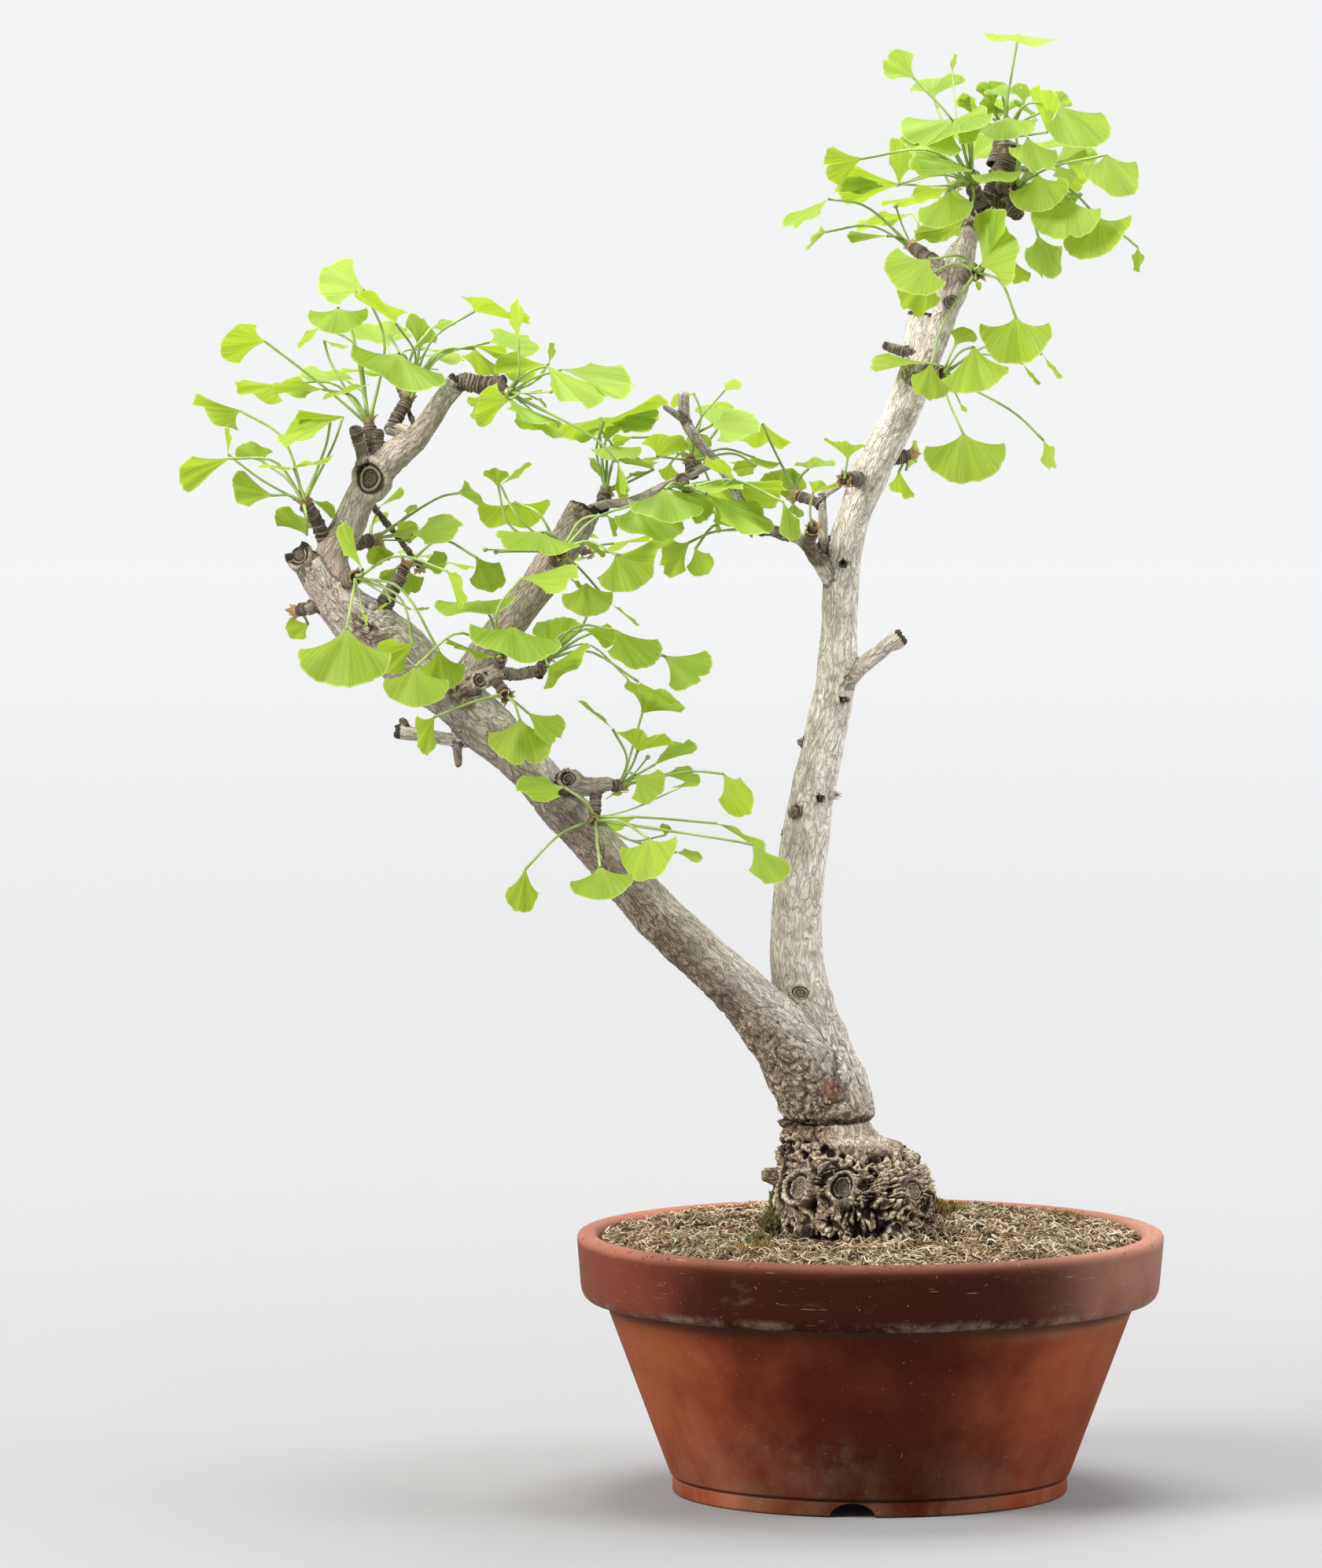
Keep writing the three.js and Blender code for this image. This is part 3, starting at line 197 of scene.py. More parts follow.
class Maker:
    def __init__(self, name):
        self.material = bpy.data.materials.new(name)
        self.material.use_nodes = True
        self.tree = self.material.node_tree
        self.shader = self.tree.nodes["Principled BSDF"]

    def node(self, kind, settings=None, sockets=None, out=0):
        made = self.tree.nodes.new(kind)
        for key, value in (settings or {}).items():
            setattr(made, key, value)
        self.feed(made, sockets or {})
        return Wire(self, made.outputs[out])

    def feed(self, node, sockets):
        for key, value in sockets.items():
            if isinstance(value, Wire):
                self.tree.links.new(value.socket, node.inputs[key])
            elif isinstance(value, tuple) and len(node.inputs[key].default_value) == 4:
                node.inputs[key].default_value = (*value, 1)
            else:
                node.inputs[key].default_value = value

    def math(self, operation, a, b):
        return self.node("ShaderNodeMath", {"operation": operation}, {0: a, 1: b})

    def wave(self, a):
        return self.node("ShaderNodeMath", {"operation": "SINE"}, {0: a})

    def lines(self, value, width):
        # 1 along the winding lines where a noise crosses its middle
        away = self.node("ShaderNodeMath", {"operation": "ABSOLUTE"}, {0: value - 0.5})
        return 1 - away.between(0.0, width)

    def mix(self, share, a, b):
        # two colours
        return self.node("ShaderNodeMix", {"data_type": "RGBA"}, {0: share, 6: a, 7: b}, 2)

    def scaled(self, vector, by):
        return self.node("ShaderNodeVectorMath", {"operation": "MULTIPLY"}, {0: vector, 1: by})

    def noise(self, vector, scale, detail=3.0, roughness=0.55, distortion=0.0):
        return self.node("ShaderNodeTexNoise", None, {
            "Vector": vector, "Scale": scale, "Detail": detail, "Roughness": roughness, "Distortion": distortion})

    def cracks(self, vector, scale):
        return self.node("ShaderNodeTexVoronoi", {"feature": "DISTANCE_TO_EDGE"}, {"Vector": vector, "Scale": scale})

    def place(self):
        # Object coordinates
        return self.node("ShaderNodeTexCoord", out=3)

    def uv(self):
        return self.node("ShaderNodeTexCoord", out=2)

    def split(self, vector):
        made = self.node("ShaderNodeSeparateXYZ", None, {0: vector}).socket.node
        return tuple(Wire(self, socket) for socket in made.outputs)

    def attribute(self, name, out=2):
        # a number, or with out=1 a vector
        return self.node("ShaderNodeAttribute", {"attribute_name": name}, out=out)

    def bump(self, height, distance, strength):
        return self.node("ShaderNodeBump", None, {"Height": height, "Distance": distance, "Strength": strength})

    def finish(self, **sockets):
        # settings of the main shader, with words_like_this for "Words Like This"
        named = {key.replace("_", " ").title().replace("Ior", "IOR"): value for key, value in sockets.items()}
        self.feed(self.shader, named)
        return self.material

    def letThrough(self, colour, share):
        # part of the light passes through a thin sheet
        glow = self.node("ShaderNodeBsdfTranslucent", None, {0: colour})
        both = self.node("ShaderNodeMixShader", None, {0: share, 1: Wire(self, self.shader.outputs[0]), 2: glow})
        self.tree.links.new(both.socket, self.tree.nodes["Material Output"].inputs[0])


# the bowl
bowl = {
    "rim": 0.1498, "height": 0.1332, "wall": 0.010, "foot": 0.1009, "footHeight": 0.008, "drain": 0.014,
    "bandUnderside": 0.098, "bandSetOut": 0.0145, "floor": 0.018, "segments": 192,
    "notchWidth": 0.023, "notchHeight": 0.0072, "notchDepth": 0.035, "notchSetIn": 0.0045, "notchCount": 3,
    "firstNotchAngle": -96, "swell": 0.0005, "chipDepth": 0.0022, "sharpFrom": math.radians(38),
    "body": (0.290, 0.074, 0.026), "bodyDark": (0.200, 0.040, 0.014), "bodyLight": (0.34, 0.105, 0.050),
    "band": (0.140, 0.033, 0.016), "bandLight": (0.180, 0.040, 0.021), "bandShade": (0.010, 0.002, 0.001),
    "lip": (0.295, 0.142, 0.096), "lipLight": (0.36, 0.12, 0.07), "bloom": (0.42, 0.33, 0.26),
    "darkLine": (0.035, 0.022, 0.016), "dustAndLight": (0.46, 0.28, 0.20), "olive": (0.12, 0.085, 0.035),
    "inside": (0.14, 0.07, 0.045), "speck": (0.50, 0.34, 0.25), "pit": (0.09, 0.035, 0.022),
    "scratch": (0.45, 0.33, 0.27),
}


def roundedOutline(corners):
    # (radius, height, rounding) corners of a closed outline, each with an arc in place of its point
    steps = 4
    outline = []
    for i, (r, z, rounding) in enumerate(corners):
        here = Vector((r, 0, z))
        arms = []
        for k in (i - 1, (i + 1) % len(corners)):
            arm = Vector((corners[k][0], 0, corners[k][1])) - here
            arms.append(arm.normalized() * min(rounding, arm.length * 0.45))
        for step in range(steps + 1):
            share = step / steps
            outline.append(here + arms[0] * (1 - share) ** 2 + arms[1] * share ** 2)
    return outline


def terracotta():
    m = Maker("terracotta")
    place = m.place()
    x, y, z = m.split(place)
    fromAxis = ((x - potX) ** 2 + y ** 2) ** 0.5
    outside = fromAxis.between(0.1313, 0.1335)
    broad = m.noise(place, 14, 4, 0.6)
    blotch = m.noise(m.scaled(place, (1, 1, 0.45)), 38, 5, 0.62)
    grain = m.noise(place, 900, 3, 0.7)
    specks = m.noise(place, 640, 1, 0.4)
    overEdge = z.between(0.0975, 0.0995)
    onBand = overEdge * outside
    # painted shade over the front, darkest in the middle where the side lights don't reach; a broad noise makes it
    # wander, and it is lighter on the lip
    front = onBand * 0.12 - y / fromAxis
    frontShade = (front + (broad - 0.5) * 0.4).between(0.70, 1.03) * (1 - z.between(0.124, 0.132) * 0.42)
    clay = m.mix(broad.between(0.35, 0.68), bowl["body"], bowl["bodyDark"])
    clay = m.mix(blotch.between(0.42, 0.75) * 0.3, clay, bowl["bodyLight"])
    band = m.mix(blotch.between(0.35, 0.7) * 0.5, bowl["band"], bowl["bandLight"])
    clay = m.mix(onBand, clay, band)
    lipEdge = z + (broad - 0.5) * 0.004
    clay = m.mix(lipEdge.between(0.1275, 0.1318), clay, m.mix(blotch, bowl["lip"], bowl["lipLight"]))
    # the painted shade's colour: the clay darkened, and the band nearly black
    shadedClay = m.mix(onBand * 0.4, m.scaled(clay, (0.28, 0.18, 0.16)), bowl["bandShade"])
    # dust on the right side, made stronger so that it also paints light on that side
    dustAndLitRight = (x - potX).between(0.03, 0.12) * broad.between(0.25, 0.6) * outside
    clay = m.mix(dustAndLitRight * 0.32, clay, bowl["dustAndLight"])
    clay = m.mix(frontShade * 0.94, clay, shadedClay)
    # lime bloom low on the body, along the band's lower edge and in thin clouds on the band
    low = (1 - z.between(0.006, 0.052)) * blotch.between(0.40, 0.68)
    edge = overEdge * (1 - z.between(0.1, 0.1055)) * m.noise(place, 60, 4, 0.7).between(0.42, 0.66)
    cloud = onBand * m.noise(m.scaled(place, (1, 1, 2.2)), 46, 5, 0.7).between(0.58, 0.8) * 0.35
    patchAway = ((x - potX + 0.030) ** 2 * 0.45 + (z - 0.030) ** 2 * 3) ** 0.5
    patch = (1 - patchAway.between(0.006, 0.040)) * m.noise(place, 62, 6, 0.7).between(0.42, 0.66)
    bloom = low * 0.12 + edge * 0.40 + cloud * 0.35 + patch * 0.11
    clay = m.mix(bloom, clay, bowl["bloom"])
    # painted shadow as a dark line under the band's overhang, a dark line in the foot's groove, and damp grime over
    # the foot
    under = z.between(0.0915, 0.0972) * (1 - z.between(0.0982, 0.0995))
    groove = z.between(0.0073, 0.0080) * (1 - z.between(0.0085, 0.0093)) * fromAxis.between(0.095, 0.098)
    olive = (1 - z.between(0.009, 0.03)) * m.noise(place, 30, 4).between(0.5, 0.7) * 0.4
    clay = m.mix(under * 0.72, clay, bowl["darkLine"])
    clay = m.mix(groove * 0.6, clay, bowl["darkLine"])
    clay = m.mix(olive, clay, bowl["olive"])
    # darker on the inside of the wall, up to the lip
    inside = (1 - fromAxis.between(0.1385, 0.1405)) * z.between(0.10, 0.118) * (1 - z.between(0.1285, 0.132))
    clay = m.mix(inside * 0.35, clay, bowl["inside"])
    clay = m.mix(specks.between(0.75, 0.80) * 0.35, clay, bowl["speck"])
    pits = m.noise(place, 330, 2, 0.5).between(0.62, 0.72)
    lipPits = pits * z.between(0.1285, 0.131)
    clay = m.mix(lipPits * 0.8, clay, bowl["pit"])
    scratches = m.noise(m.scaled(place, (0.35, 0.35, 5)), 210, 2, 0.4).between(0.70, 0.76)
    clay = m.mix(scratches * 0.35 * onBand, clay, bowl["scratch"])
    height = grain * 0.25 + blotch * 0.4 - lipPits * 1.6 - pits * 0.25 + specks * 0.2
    rough = 0.62 + grain * 0.15 - onBand * 0.14 + bloom * 0.2
    return m.finish(base_color=clay, roughness=rough, normal=m.bump(height, 0.0004, 0.6), specular_ior_level=0.08)


def bowlShell():
    rim, foot, step, band = bowl["rim"], bowl["foot"], bowl["footHeight"], bowl["bandUnderside"]
    top, drain, floor = bowl["height"] - 0.0002, bowl["drain"], bowl["floor"]
    neck, mouth = rim - bowl["bandSetOut"], rim - bowl["wall"]
    # from the drain hole out under the floor, up the outside, over the lip and back down
    corners = [
        (drain, step, 0.001), (foot - 0.015, step, 0.0015), (foot - 0.0127, 0, 0.0012), (foot, 0, 0.0014),
        (foot, step - 0.0008, 0.0004), (foot - 0.0012, step + 0.0002, 0.0003), (foot + 0.0012, step + 0.0014, 0.0006),
        (neck, band, 0.0010), (rim - 0.0025, band + 0.0012, 0.0075), (rim, top, 0.0038), (mouth, top, 0.0035),
        (neck - bowl["wall"], band - 0.001, 0.006), (foot - 0.009, 0.024, 0.004), (foot - 0.017, floor, 0.004),
        (drain, floor, 0.002),
    ]
    bm = bmesh.new()
    ring = [bm.verts.new(place) for place in roundedOutline(corners)]
    edges = [bm.edges.new((p, q)) for p, q in zip(ring, ring[1:] + ring[:1])]
    bmesh.ops.spin(bm, geom=ring + edges, axis=(0, 0, 1), cent=(0, 0, 0), angle=2 * math.pi,
                   steps=bowl["segments"], use_merge=True)
    bmesh.ops.recalc_face_normals(bm, faces=bm.faces)
    return meshFrom(bm, "bowlShell")


def notchCutter():
    # arched notches through the foot
    bm = bmesh.new()
    for i in range(bowl["notchCount"]):
        turn = Matrix.Rotation(math.radians(bowl["firstNotchAngle"] + 90 + 360 * i / bowl["notchCount"]), 4, "Z")
        shape = Matrix.Diagonal((bowl["notchWidth"] / 2, 1, bowl["notchHeight"], 1))
        lay = Matrix.Rotation(math.pi / 2, 4, "X")
        move = Matrix.Translation((0, -bowl["foot"] + bowl["notchSetIn"], 0))
        bmesh.ops.create_cone(bm, cap_ends=True, segments=48, radius1=1, radius2=1, depth=bowl["notchDepth"],
                              matrix=turn @ move @ shape @ lay)
    bmesh.ops.recalc_face_normals(bm, faces=bm.faces)
    cutter = bpy.data.objects.new("notches", meshFrom(bm, "notches"))
    bpy.context.scene.collection.objects.link(cutter)
    return cutter


def makeBowl():
    cutter = notchCutter()
    mesh = applied(bowlShell(), "bowlCut", BOOLEAN={"object": cutter, "operation": "DIFFERENCE", "solver": "EXACT"})
    bpy.data.objects.remove(cutter)
    # hand-thrown unevenness, and little chips along the lip
    for vertex in mesh.vertices:
        x, y, z = vertex.co
        swell = noise.noise((x * 9, y * 9, z * 30)) * bowl["swell"] * smooth(z, 0.004, 0.03)
        chip = max(0, noise.noise((x * 130, y * 130, z * 130)) - 0.38) * smooth(z, 0.127, 0.1325)
        out = Vector((x, y, 0)).normalized()
        vertex.co += out * swell - Vector((0, 0, 1)) * chip * bowl["chipDepth"]
    mesh.transform(Matrix.Translation((potX, 0, 0)))
    mesh.shade_smooth()
    mesh.set_sharp_from_angle(angle=bowl["sharpFrom"])
    newPiece("terracottaBowl", mesh, [terracotta()], "terracotta", "pot")
    print("bowl made")


# the wood's limbs, each from its root to its tip: (across, down, depth, width)
limbs = {
    "rightTrunk": [
        (1085, 1662, -11, 150), (1086, 1575, -11, 202), (1084, 1527, -11, 208), (1070, 1497, -11, 178),
        (1057, 1465, -10, 138), (1053, 1442, -9, 120), (1053, 1433, -9, 114), (1052, 1424, -8, 120),
        (1044, 1375, -6, 114), (1034, 1335, -3, 98), (1023, 1290, 0, 82), (1014, 1230, 4, 70),
        (1013, 1160, 7, 64), (1025, 1060, 8, 60), (1034, 1005, 9, 55), (1050, 930, 10, 53),
        (1064, 860, 10, 50), (1068, 780, 10, 46), (1074, 700, 8, 45), (1086, 655, 8, 41),
        (1107, 600, 7, 49), (1120, 574, 7, 46), (1141, 538, 6, 44), (1170, 462, 3, 44)],
    "leftTrunk": [
        (1052, 1420, -10, 100), (1025, 1365, -14, 96), (990, 1315, -18, 84), (946, 1265, -22, 67),
        (890, 1212, -24, 63), (830, 1158, -25, 61), (756, 1072, -26, 57), (718, 1030, -28, 56),
        (683, 988, -30, 57), (648, 952, -30, 60), (614, 920, -28, 67), (578, 886, -27, 66),
        (540, 858, -27, 70), (500, 822, -27, 76), (462, 794, -26, 70), (430, 765, -25, 58),
        (408, 738, -24, 48), (394, 716, -23, 40)],
    "leftTopStub": [(402, 730, -23, 44), (387, 714, -23, 34), (376, 701, -23, 29)],
    "leftUpperBranch": [
        (425, 745, -22, 48), (422, 706, -21, 43), (442, 671, -20, 41), (456, 636, -20, 40),
        (475, 606, -19, 42), (500, 580, -18, 39), (526, 561, -17, 33), (548, 533, -16, 27),
        (564, 508, -15, 26), (583, 484, -15, 26)],
    "rightTopBranch": [
        (1164, 485, 2, 38), (1188, 440, -4, 31), (1201, 402, -5, 32), (1210, 367, -5, 42),
        (1219, 333, -5, 42), (1233, 300, -5, 24), (1243, 266, -5, 20)],
    "paleCutStem": [(1160, 500, 8, 36), (1165, 450, 14, 38), (1172, 397, 16, 34)],
    "middleBranch": [
        (590, 870, -24, 46), (615, 835, -16, 45), (650, 790, -8, 45), (690, 735, 0, 45),
        (722, 686, 6, 45), (745, 646, 10, 44)],
    "middleTwig": [(738, 656, 9, 18), (767, 642, 10, 13), (802, 638, 8, 12), (840, 621, 5, 12), (872, 606, 2, 12),
        (901, 592, 0, 11)],
    "innerBranch": [(1060, 736, 7, 28), (1040, 710, 3, 22), (1020, 687, 0, 17), (1000, 680, -4, 13)],
    "innerTwigLeft": [(1006, 682, -3, 14), (982, 675, -8, 12), (966, 673, -14, 12)],
    "innerTwigUp": [(1040, 714, 3, 15), (1046, 690, 4, 12), (1045, 626, 6, 11)],
    "greyTwig": [(998, 682, -3, 13), (957, 662, -6, 12), (925, 606, -2, 13), (897, 573, 2, 13), (872, 536, 5, 13),
        (869, 500, 6, 14)],
    "rightStub": [(1068, 870, 8, 34), (1095, 848, 6, 21), (1128, 822, 3, 19), (1140, 814, 2, 24), (1147, 809, 2, 21)],
    "leftStub": [(614, 938, -28, 26), (589, 942, -29, 17), (545, 936, -32, 17), (504, 930, -34, 18)],
    "swellingBranch": [(572, 892, -30, 42), (590, 876, -34, 31), (612, 864, -38, 25), (640, 852, -42, 22)],
    "swellingTwig": [(632, 854, -41, 16), (660, 858, -40, 14), (692, 850, -36, 14)],
    "lowKnob": [(712, 1006, -32, 32), (724, 988, -38, 25)],
    "lowBranch": [(722, 990, -35, 30), (742, 1000, -38, 24), (775, 996, -34, 17)],
    "sideBranch": [(548, 541, -16, 21), (520, 549, -14, 17), (494, 544, -11, 17)],
    "greyStub": [(479, 590, -18, 18), (480, 548, -16, 15)],
    "darkSpur": [(466, 592, -20, 17), (458, 566, -22, 15), (451, 545, -25, 14)],
    "horizontalSpur": [(572, 494, -15, 16), (590, 486, -17, 21), (612, 489, -19, 21), (630, 488, -22, 19),
        (641, 482, -24, 11)],
    "ringedTwig": [(486, 778, -26, 22), (495, 756, -28, 18), (511, 733, -26, 16)],
    "crownStub": [(1238, 284, -5, 28), (1254, 262, -8, 34)],
    "crownSpurUp": [(1256, 268, -5, 26), (1268, 236, -3, 26), (1279, 208, 0, 28), (1281, 184, 2, 26)],
    "crownSpurRight": [(1256, 256, -3, 26), (1278, 256, -6, 26), (1296, 274, -10, 16)],
    "topKnobLeft": [(1200, 342, -5, 24), (1182, 332, -4, 16)],
    "leftStubSpur": [(580, 940, -30, 14), (583, 973, -33, 10)],
    "leftStubTwist": [(522, 934, -33, 13), (511, 915, -32, 8)],
    "deadTwig": [(1170, 452, 11, 14), (1145, 446, 8, 12), (1125, 439, 7, 10)],
    "innerTwigSpur": [(1043, 632, 6, 11), (1068, 616, 2, 10)],
    "greyTwigSide": [(876, 538, 5, 10), (845, 517, 4, 8)],
    "brownKnob": [(406, 768, -26, 16), (391, 776, -28, 16)],
    "trunkKnobHigh": [(1034, 948, 9, 18), (1016, 943, 8, 10)],
    "trunkKnobMiddle": [(1016, 1037, 8, 16), (1008, 1032, -2, 12)],
    "trunkKnobLow": [(1008, 1062, 9, 14), (994, 1058, 8, 8)],
    "burlStub": [(996, 1498, -10, 26), (972, 1493, -12, 17)],
}


def limbRun(points, perStretch=5):
    places = [atDepth(*point[:3]) for point in points]
    last = len(points) - 1
    run = []
    for k in range(last * perStretch + 1):
        share = k / (last * perStretch)
        i = min(int(share * last), last - 1)
        width = mixed(points[i][3], points[i + 1][3], smooth(share * last - i, 0, 1))
        run.append((curvePoint(places, share), width * widthToRadius))
    return run


def budAndAlong(bud, spur):
    place = atDepth(*bud)
    return place, (place - atDepth(*spur[:3])).normalized()


class LimbLine:
    # a limb's middle line in short steps, with a frame carried along it
    def __init__(self, run):
        places, radii = [run[0][0]], [run[0][1]]
        for (p, r), (q, s) in zip(run, run[1:]):
            parts = max(1, math.ceil((q - p).length / wood["lineStep"]))
            for k in range(1, parts + 1):
                places.append(p.lerp(q, k / parts))
                radii.append(mixed(r, s, k / parts))
        self.places = np.array(places)
        self.radii = np.array(radii)
        along = np.gradient(self.places, axis=0)
        self.along = along / np.linalg.norm(along, axis=1)[:, None]
        self.length = np.concatenate([[0], np.cumsum(np.linalg.norm(np.diff(self.places, axis=0), axis=1))])
        side = np.array((0.31, -0.87, 0.38))  # any direction that no limb starts along
        sides = []
        for direction in self.along:
            side = side - direction * side.dot(direction)
            side = side / np.linalg.norm(side)
            sides.append(side)
        self.side = np.array(sides)
        self.other = np.cross(self.along, self.side)


def straightened(spots, lines):
    # for each spot: its limb, its place in that limb's straightened frame, the limb's radius there, and how far
    # the spot lies outside that radius
    batch = 4000000  # gaps worked out at a time, to spare memory
    count = len(spots)
    best = np.full(count, 1.0)
    limb = np.zeros(count, int)
    grain = np.zeros((count, 3))
    radius = np.full(count, 0.01)
    outside = np.zeros(count)
    for number, line in enumerate(lines):
        reach = line.radii.max() + 0.006
        near = np.all((spots > line.places.min(0) - reach) & (spots < line.places.max(0) + reach), axis=1)
        index = np.nonzero(near)[0]
        for part in np.array_split(index, max(1, len(index) * len(line.places) // batch)):
            if not len(part):
                continue
            gaps = spots[part][:, None, :] - line.places[None]
            nearest = (gaps ** 2).sum(2).argmin(1)
            gap = gaps[np.arange(len(part)), nearest]
            ahead = (gap * line.along[nearest]).sum(1)
            flat = gap - line.along[nearest] * ahead[:, None]
            off = np.linalg.norm(flat, axis=1) - line.radii[nearest]
            score = np.abs(off) + np.abs(ahead) * 1.5
            won = score < best[part]
            chosen, spot = part[won], nearest[won]
            best[chosen] = score[won]
            limb[chosen] = number
            radius[chosen] = line.radii[spot]
            outside[chosen] = off[won]
            grain[chosen, 0] = (gap[won] * line.side[spot]).sum(1)
            grain[chosen, 1] = (gap[won] * line.other[spot]).sum(1)
            grain[chosen, 2] = line.length[spot] + ahead[won]
    return limb, grain, radius, outside


# how old, warm and dark each limb's bark is; the rest are young branches
barkOf = {
    "rightTrunk": (0.2, 0.1, 0.0), "leftTrunk": (0.58, 0.25, 0.16), "leftUpperBranch": (0.34, 0.6, 0.08),
    "leftTopStub": (0.5, 0.3, 0.2), "middleBranch": (0.38, 0.55, 0.14), "paleCutStem": (0.1, 0.05, 0.0),
    "rightTopBranch": (0.25, 0.3, 0.03), "rightStub": (0.2, 0.3, 0.05), "swellingBranch": (0.35, 0.25, 0.1),
    "swellingTwig": (0.3, 0.3, 0.6), "greyStub": (0.5, 0.1, 0.5), "darkSpur": (0.5, 0.1, 0.75),
    "horizontalSpur": (0.4, 0.2, 0.7), "middleTwig": (0.2, 0.3, 0.45), "lowKnob": (0.6, 0.3, 0.3),
    "lowBranch": (0.35, 0.35, 0.25), "crownSpurUp": (0.6, 0.3, 0.7), "crownSpurRight": (0.6, 0.3, 0.6),
    "crownStub": (0.5, 0.3, 0.3), "topKnobLeft": (0.4, 0.3, 0.4), "ringedTwig": (0.4, 0.3, 0.35),
    "innerTwigLeft": (0.2, 0.35, 0.5), "leftStub": (0.25, 0.2, 0.0), "deadTwig": (0.4, 0.1, 0.7),
    "leftStubSpur": (0.4, 0.6, 0.5), "leftStubTwist": (0.3, 0.2, 0.2), "brownKnob": (0.4, 0.9, 0.6),
    "trunkKnobHigh": (0.5, 0.3, 0.2), "trunkKnobMiddle": (0.5, 0.3, 0.2), "trunkKnobLow": (0.5, 0.3, 0.2),
    "burlStub": (0.7, 0.1, 0.0), "greyTwig": (0.35, 0.2, 0.42), "greyTwigSide": (0.35, 0.2, 0.45),
    "innerBranch": (0.22, 0.3, 0.03),
}
youngBark = (0.25, 0.3, 0.2)

# old pruning scars on the surface: (across, down), half width, half height and rise in millimetres, where a hole
# has a negative rise; the last four are small steep rings
scars = [
    (1014, 1510, 8.4, 9.0, 2.6), (1071, 1510, 6.6, 8.4, 2.6), (1070, 1524, 2.2, 2.2, 1.2),
    (1163, 1514, 7.0, 6.6, 0.9), (1048, 1530, 3.6, 4.4, -4.0), (1098, 1500, 3.0, 5.0, -2.6),
    (1126, 1530, 3.2, 4.0, -2.4), (988, 1545, 3.4, 3.4, 1.4), (1018, 1263, 5.2, 4.6, 1.3),
    (470, 608, 8.4, 9.2, 2.6), (610, 865, 3.8, 3.8, 1.6), (723, 990, 4.4, 4.2, 1.6), (380, 706, 5.6, 6.2, 1.4),
    (1251, 266, 6.2, 6.2, 2.0), (1209, 384, 4.2, 4.6, 1.2), (1141, 1562, 3.2, 3.0, 1.4), (1275, 261, 2.6, 2.6, 1.0),
    (1072, 716, 2.4, 2.4, 7.0), (1070, 889, 2.2, 2.2, 5.0), (1041, 1015, 2.2, 2.2, 6.0), (1058, 1010, 2.0, 2.0, 5.0),
]
# small bumps, in the same way with one radius
knots = [
    (1034, 1213, 3.4, 1.5), (1050, 1137, 2.4, 1.3), (1007, 1032, 3.6, 1.0), (1025, 1083, 2.4, 1.2),
    (997, 1146, 4.0, 2.0), (951, 1223, 4.8, 2.2), (880, 1160, 4.0, 1.5), (852, 1112, 3.0, 1.3),
    (1060, 1340, 3.0, 1.2), (1073, 893, 2.4, 1.0), (1148, 530, 5.0, 1.2), (790, 1106, 4.5, 1.6),
    (1096, 1330, 3.0, 1.0), (1058, 861, 2.8, 0.8), (1083, 851, 5.5, 1.6), (1003, 1211, 2.2, 0.8),
    (1086, 700, 2.6, 0.8), (905, 1196, 3.2, 1.4), (1019, 1238, 3.0, 1.0), (640, 930, 4.0, 1.4),
    (1030, 1180, 2.0, 0.8),
]
# deep hollows, sunk in and darkened with painted shade, nearly all in the burl: (across, down) and reach in
# millimetres
hollows = [
    (1027, 1534, 3.8), (1052, 1529, 2.8), (1031, 1494, 3.4), (1047, 1501, 2.6), (1079, 1489, 3.2), (1101, 1506, 3.6),
    (1108, 1526, 4.6), (1121, 1546, 4.2), (1092, 1568, 4.4), (1116, 1572, 5.0), (1136, 1590, 5.6), (1161, 1574, 3.6),
    (1173, 1590, 5.0), (1185, 1538, 2.6), (1149, 1507, 1.7), (1003, 1560, 2.2), (1099, 1542, 3.6), (1154, 1545, 2.6),
    (1142, 1562, 3.4), (1058, 1466, 2.4), (1072, 1470, 2.0), (1046, 1462, 2.0), (1181, 1562, 3.4), (1060, 1557, 2.6),
    (1036, 1580, 3.0), (1070, 1588, 4.2), (1008, 1588, 3.4), (1020, 1470, 2.0), (1104, 1590, 5.0), (1125, 1560, 4.6),
    (1150, 1585, 4.6), (1108, 1490, 2.8), (1132, 1515, 2.4), (1170, 1548, 2.6), (610, 865, 2.7),
]
# places where the bark is old and cracked: (across, down), reach in millimetres, and how much
gnarls = [
    (480, 784, 15, 1.0), (592, 880, 10, 0.9), (1254, 262, 13, 1.0), (708, 1000, 9, 0.7), (1103, 612, 10, 0.32),
    (1149, 535, 9, 0.3), (1038, 702, 9, 0.8), (1016, 1264, 9, 0.55), (420, 740, 9, 0.4),
    (1010, 1032, 6, 0.6), (1110, 860, 7, 0.5), (466, 590, 12, 0.45), (622, 880, 9, 0.7), (745, 650, 8, 0.7),
    (1206, 350, 9, 0.5), (1130, 590, 7, 0.3),
]
# limbs that end in a sawn face
sawn = ("leftTopStub", "leftUpperBranch", "middleBranch", "paleCutStem", "rightStub", "leftStub", "greyStub")

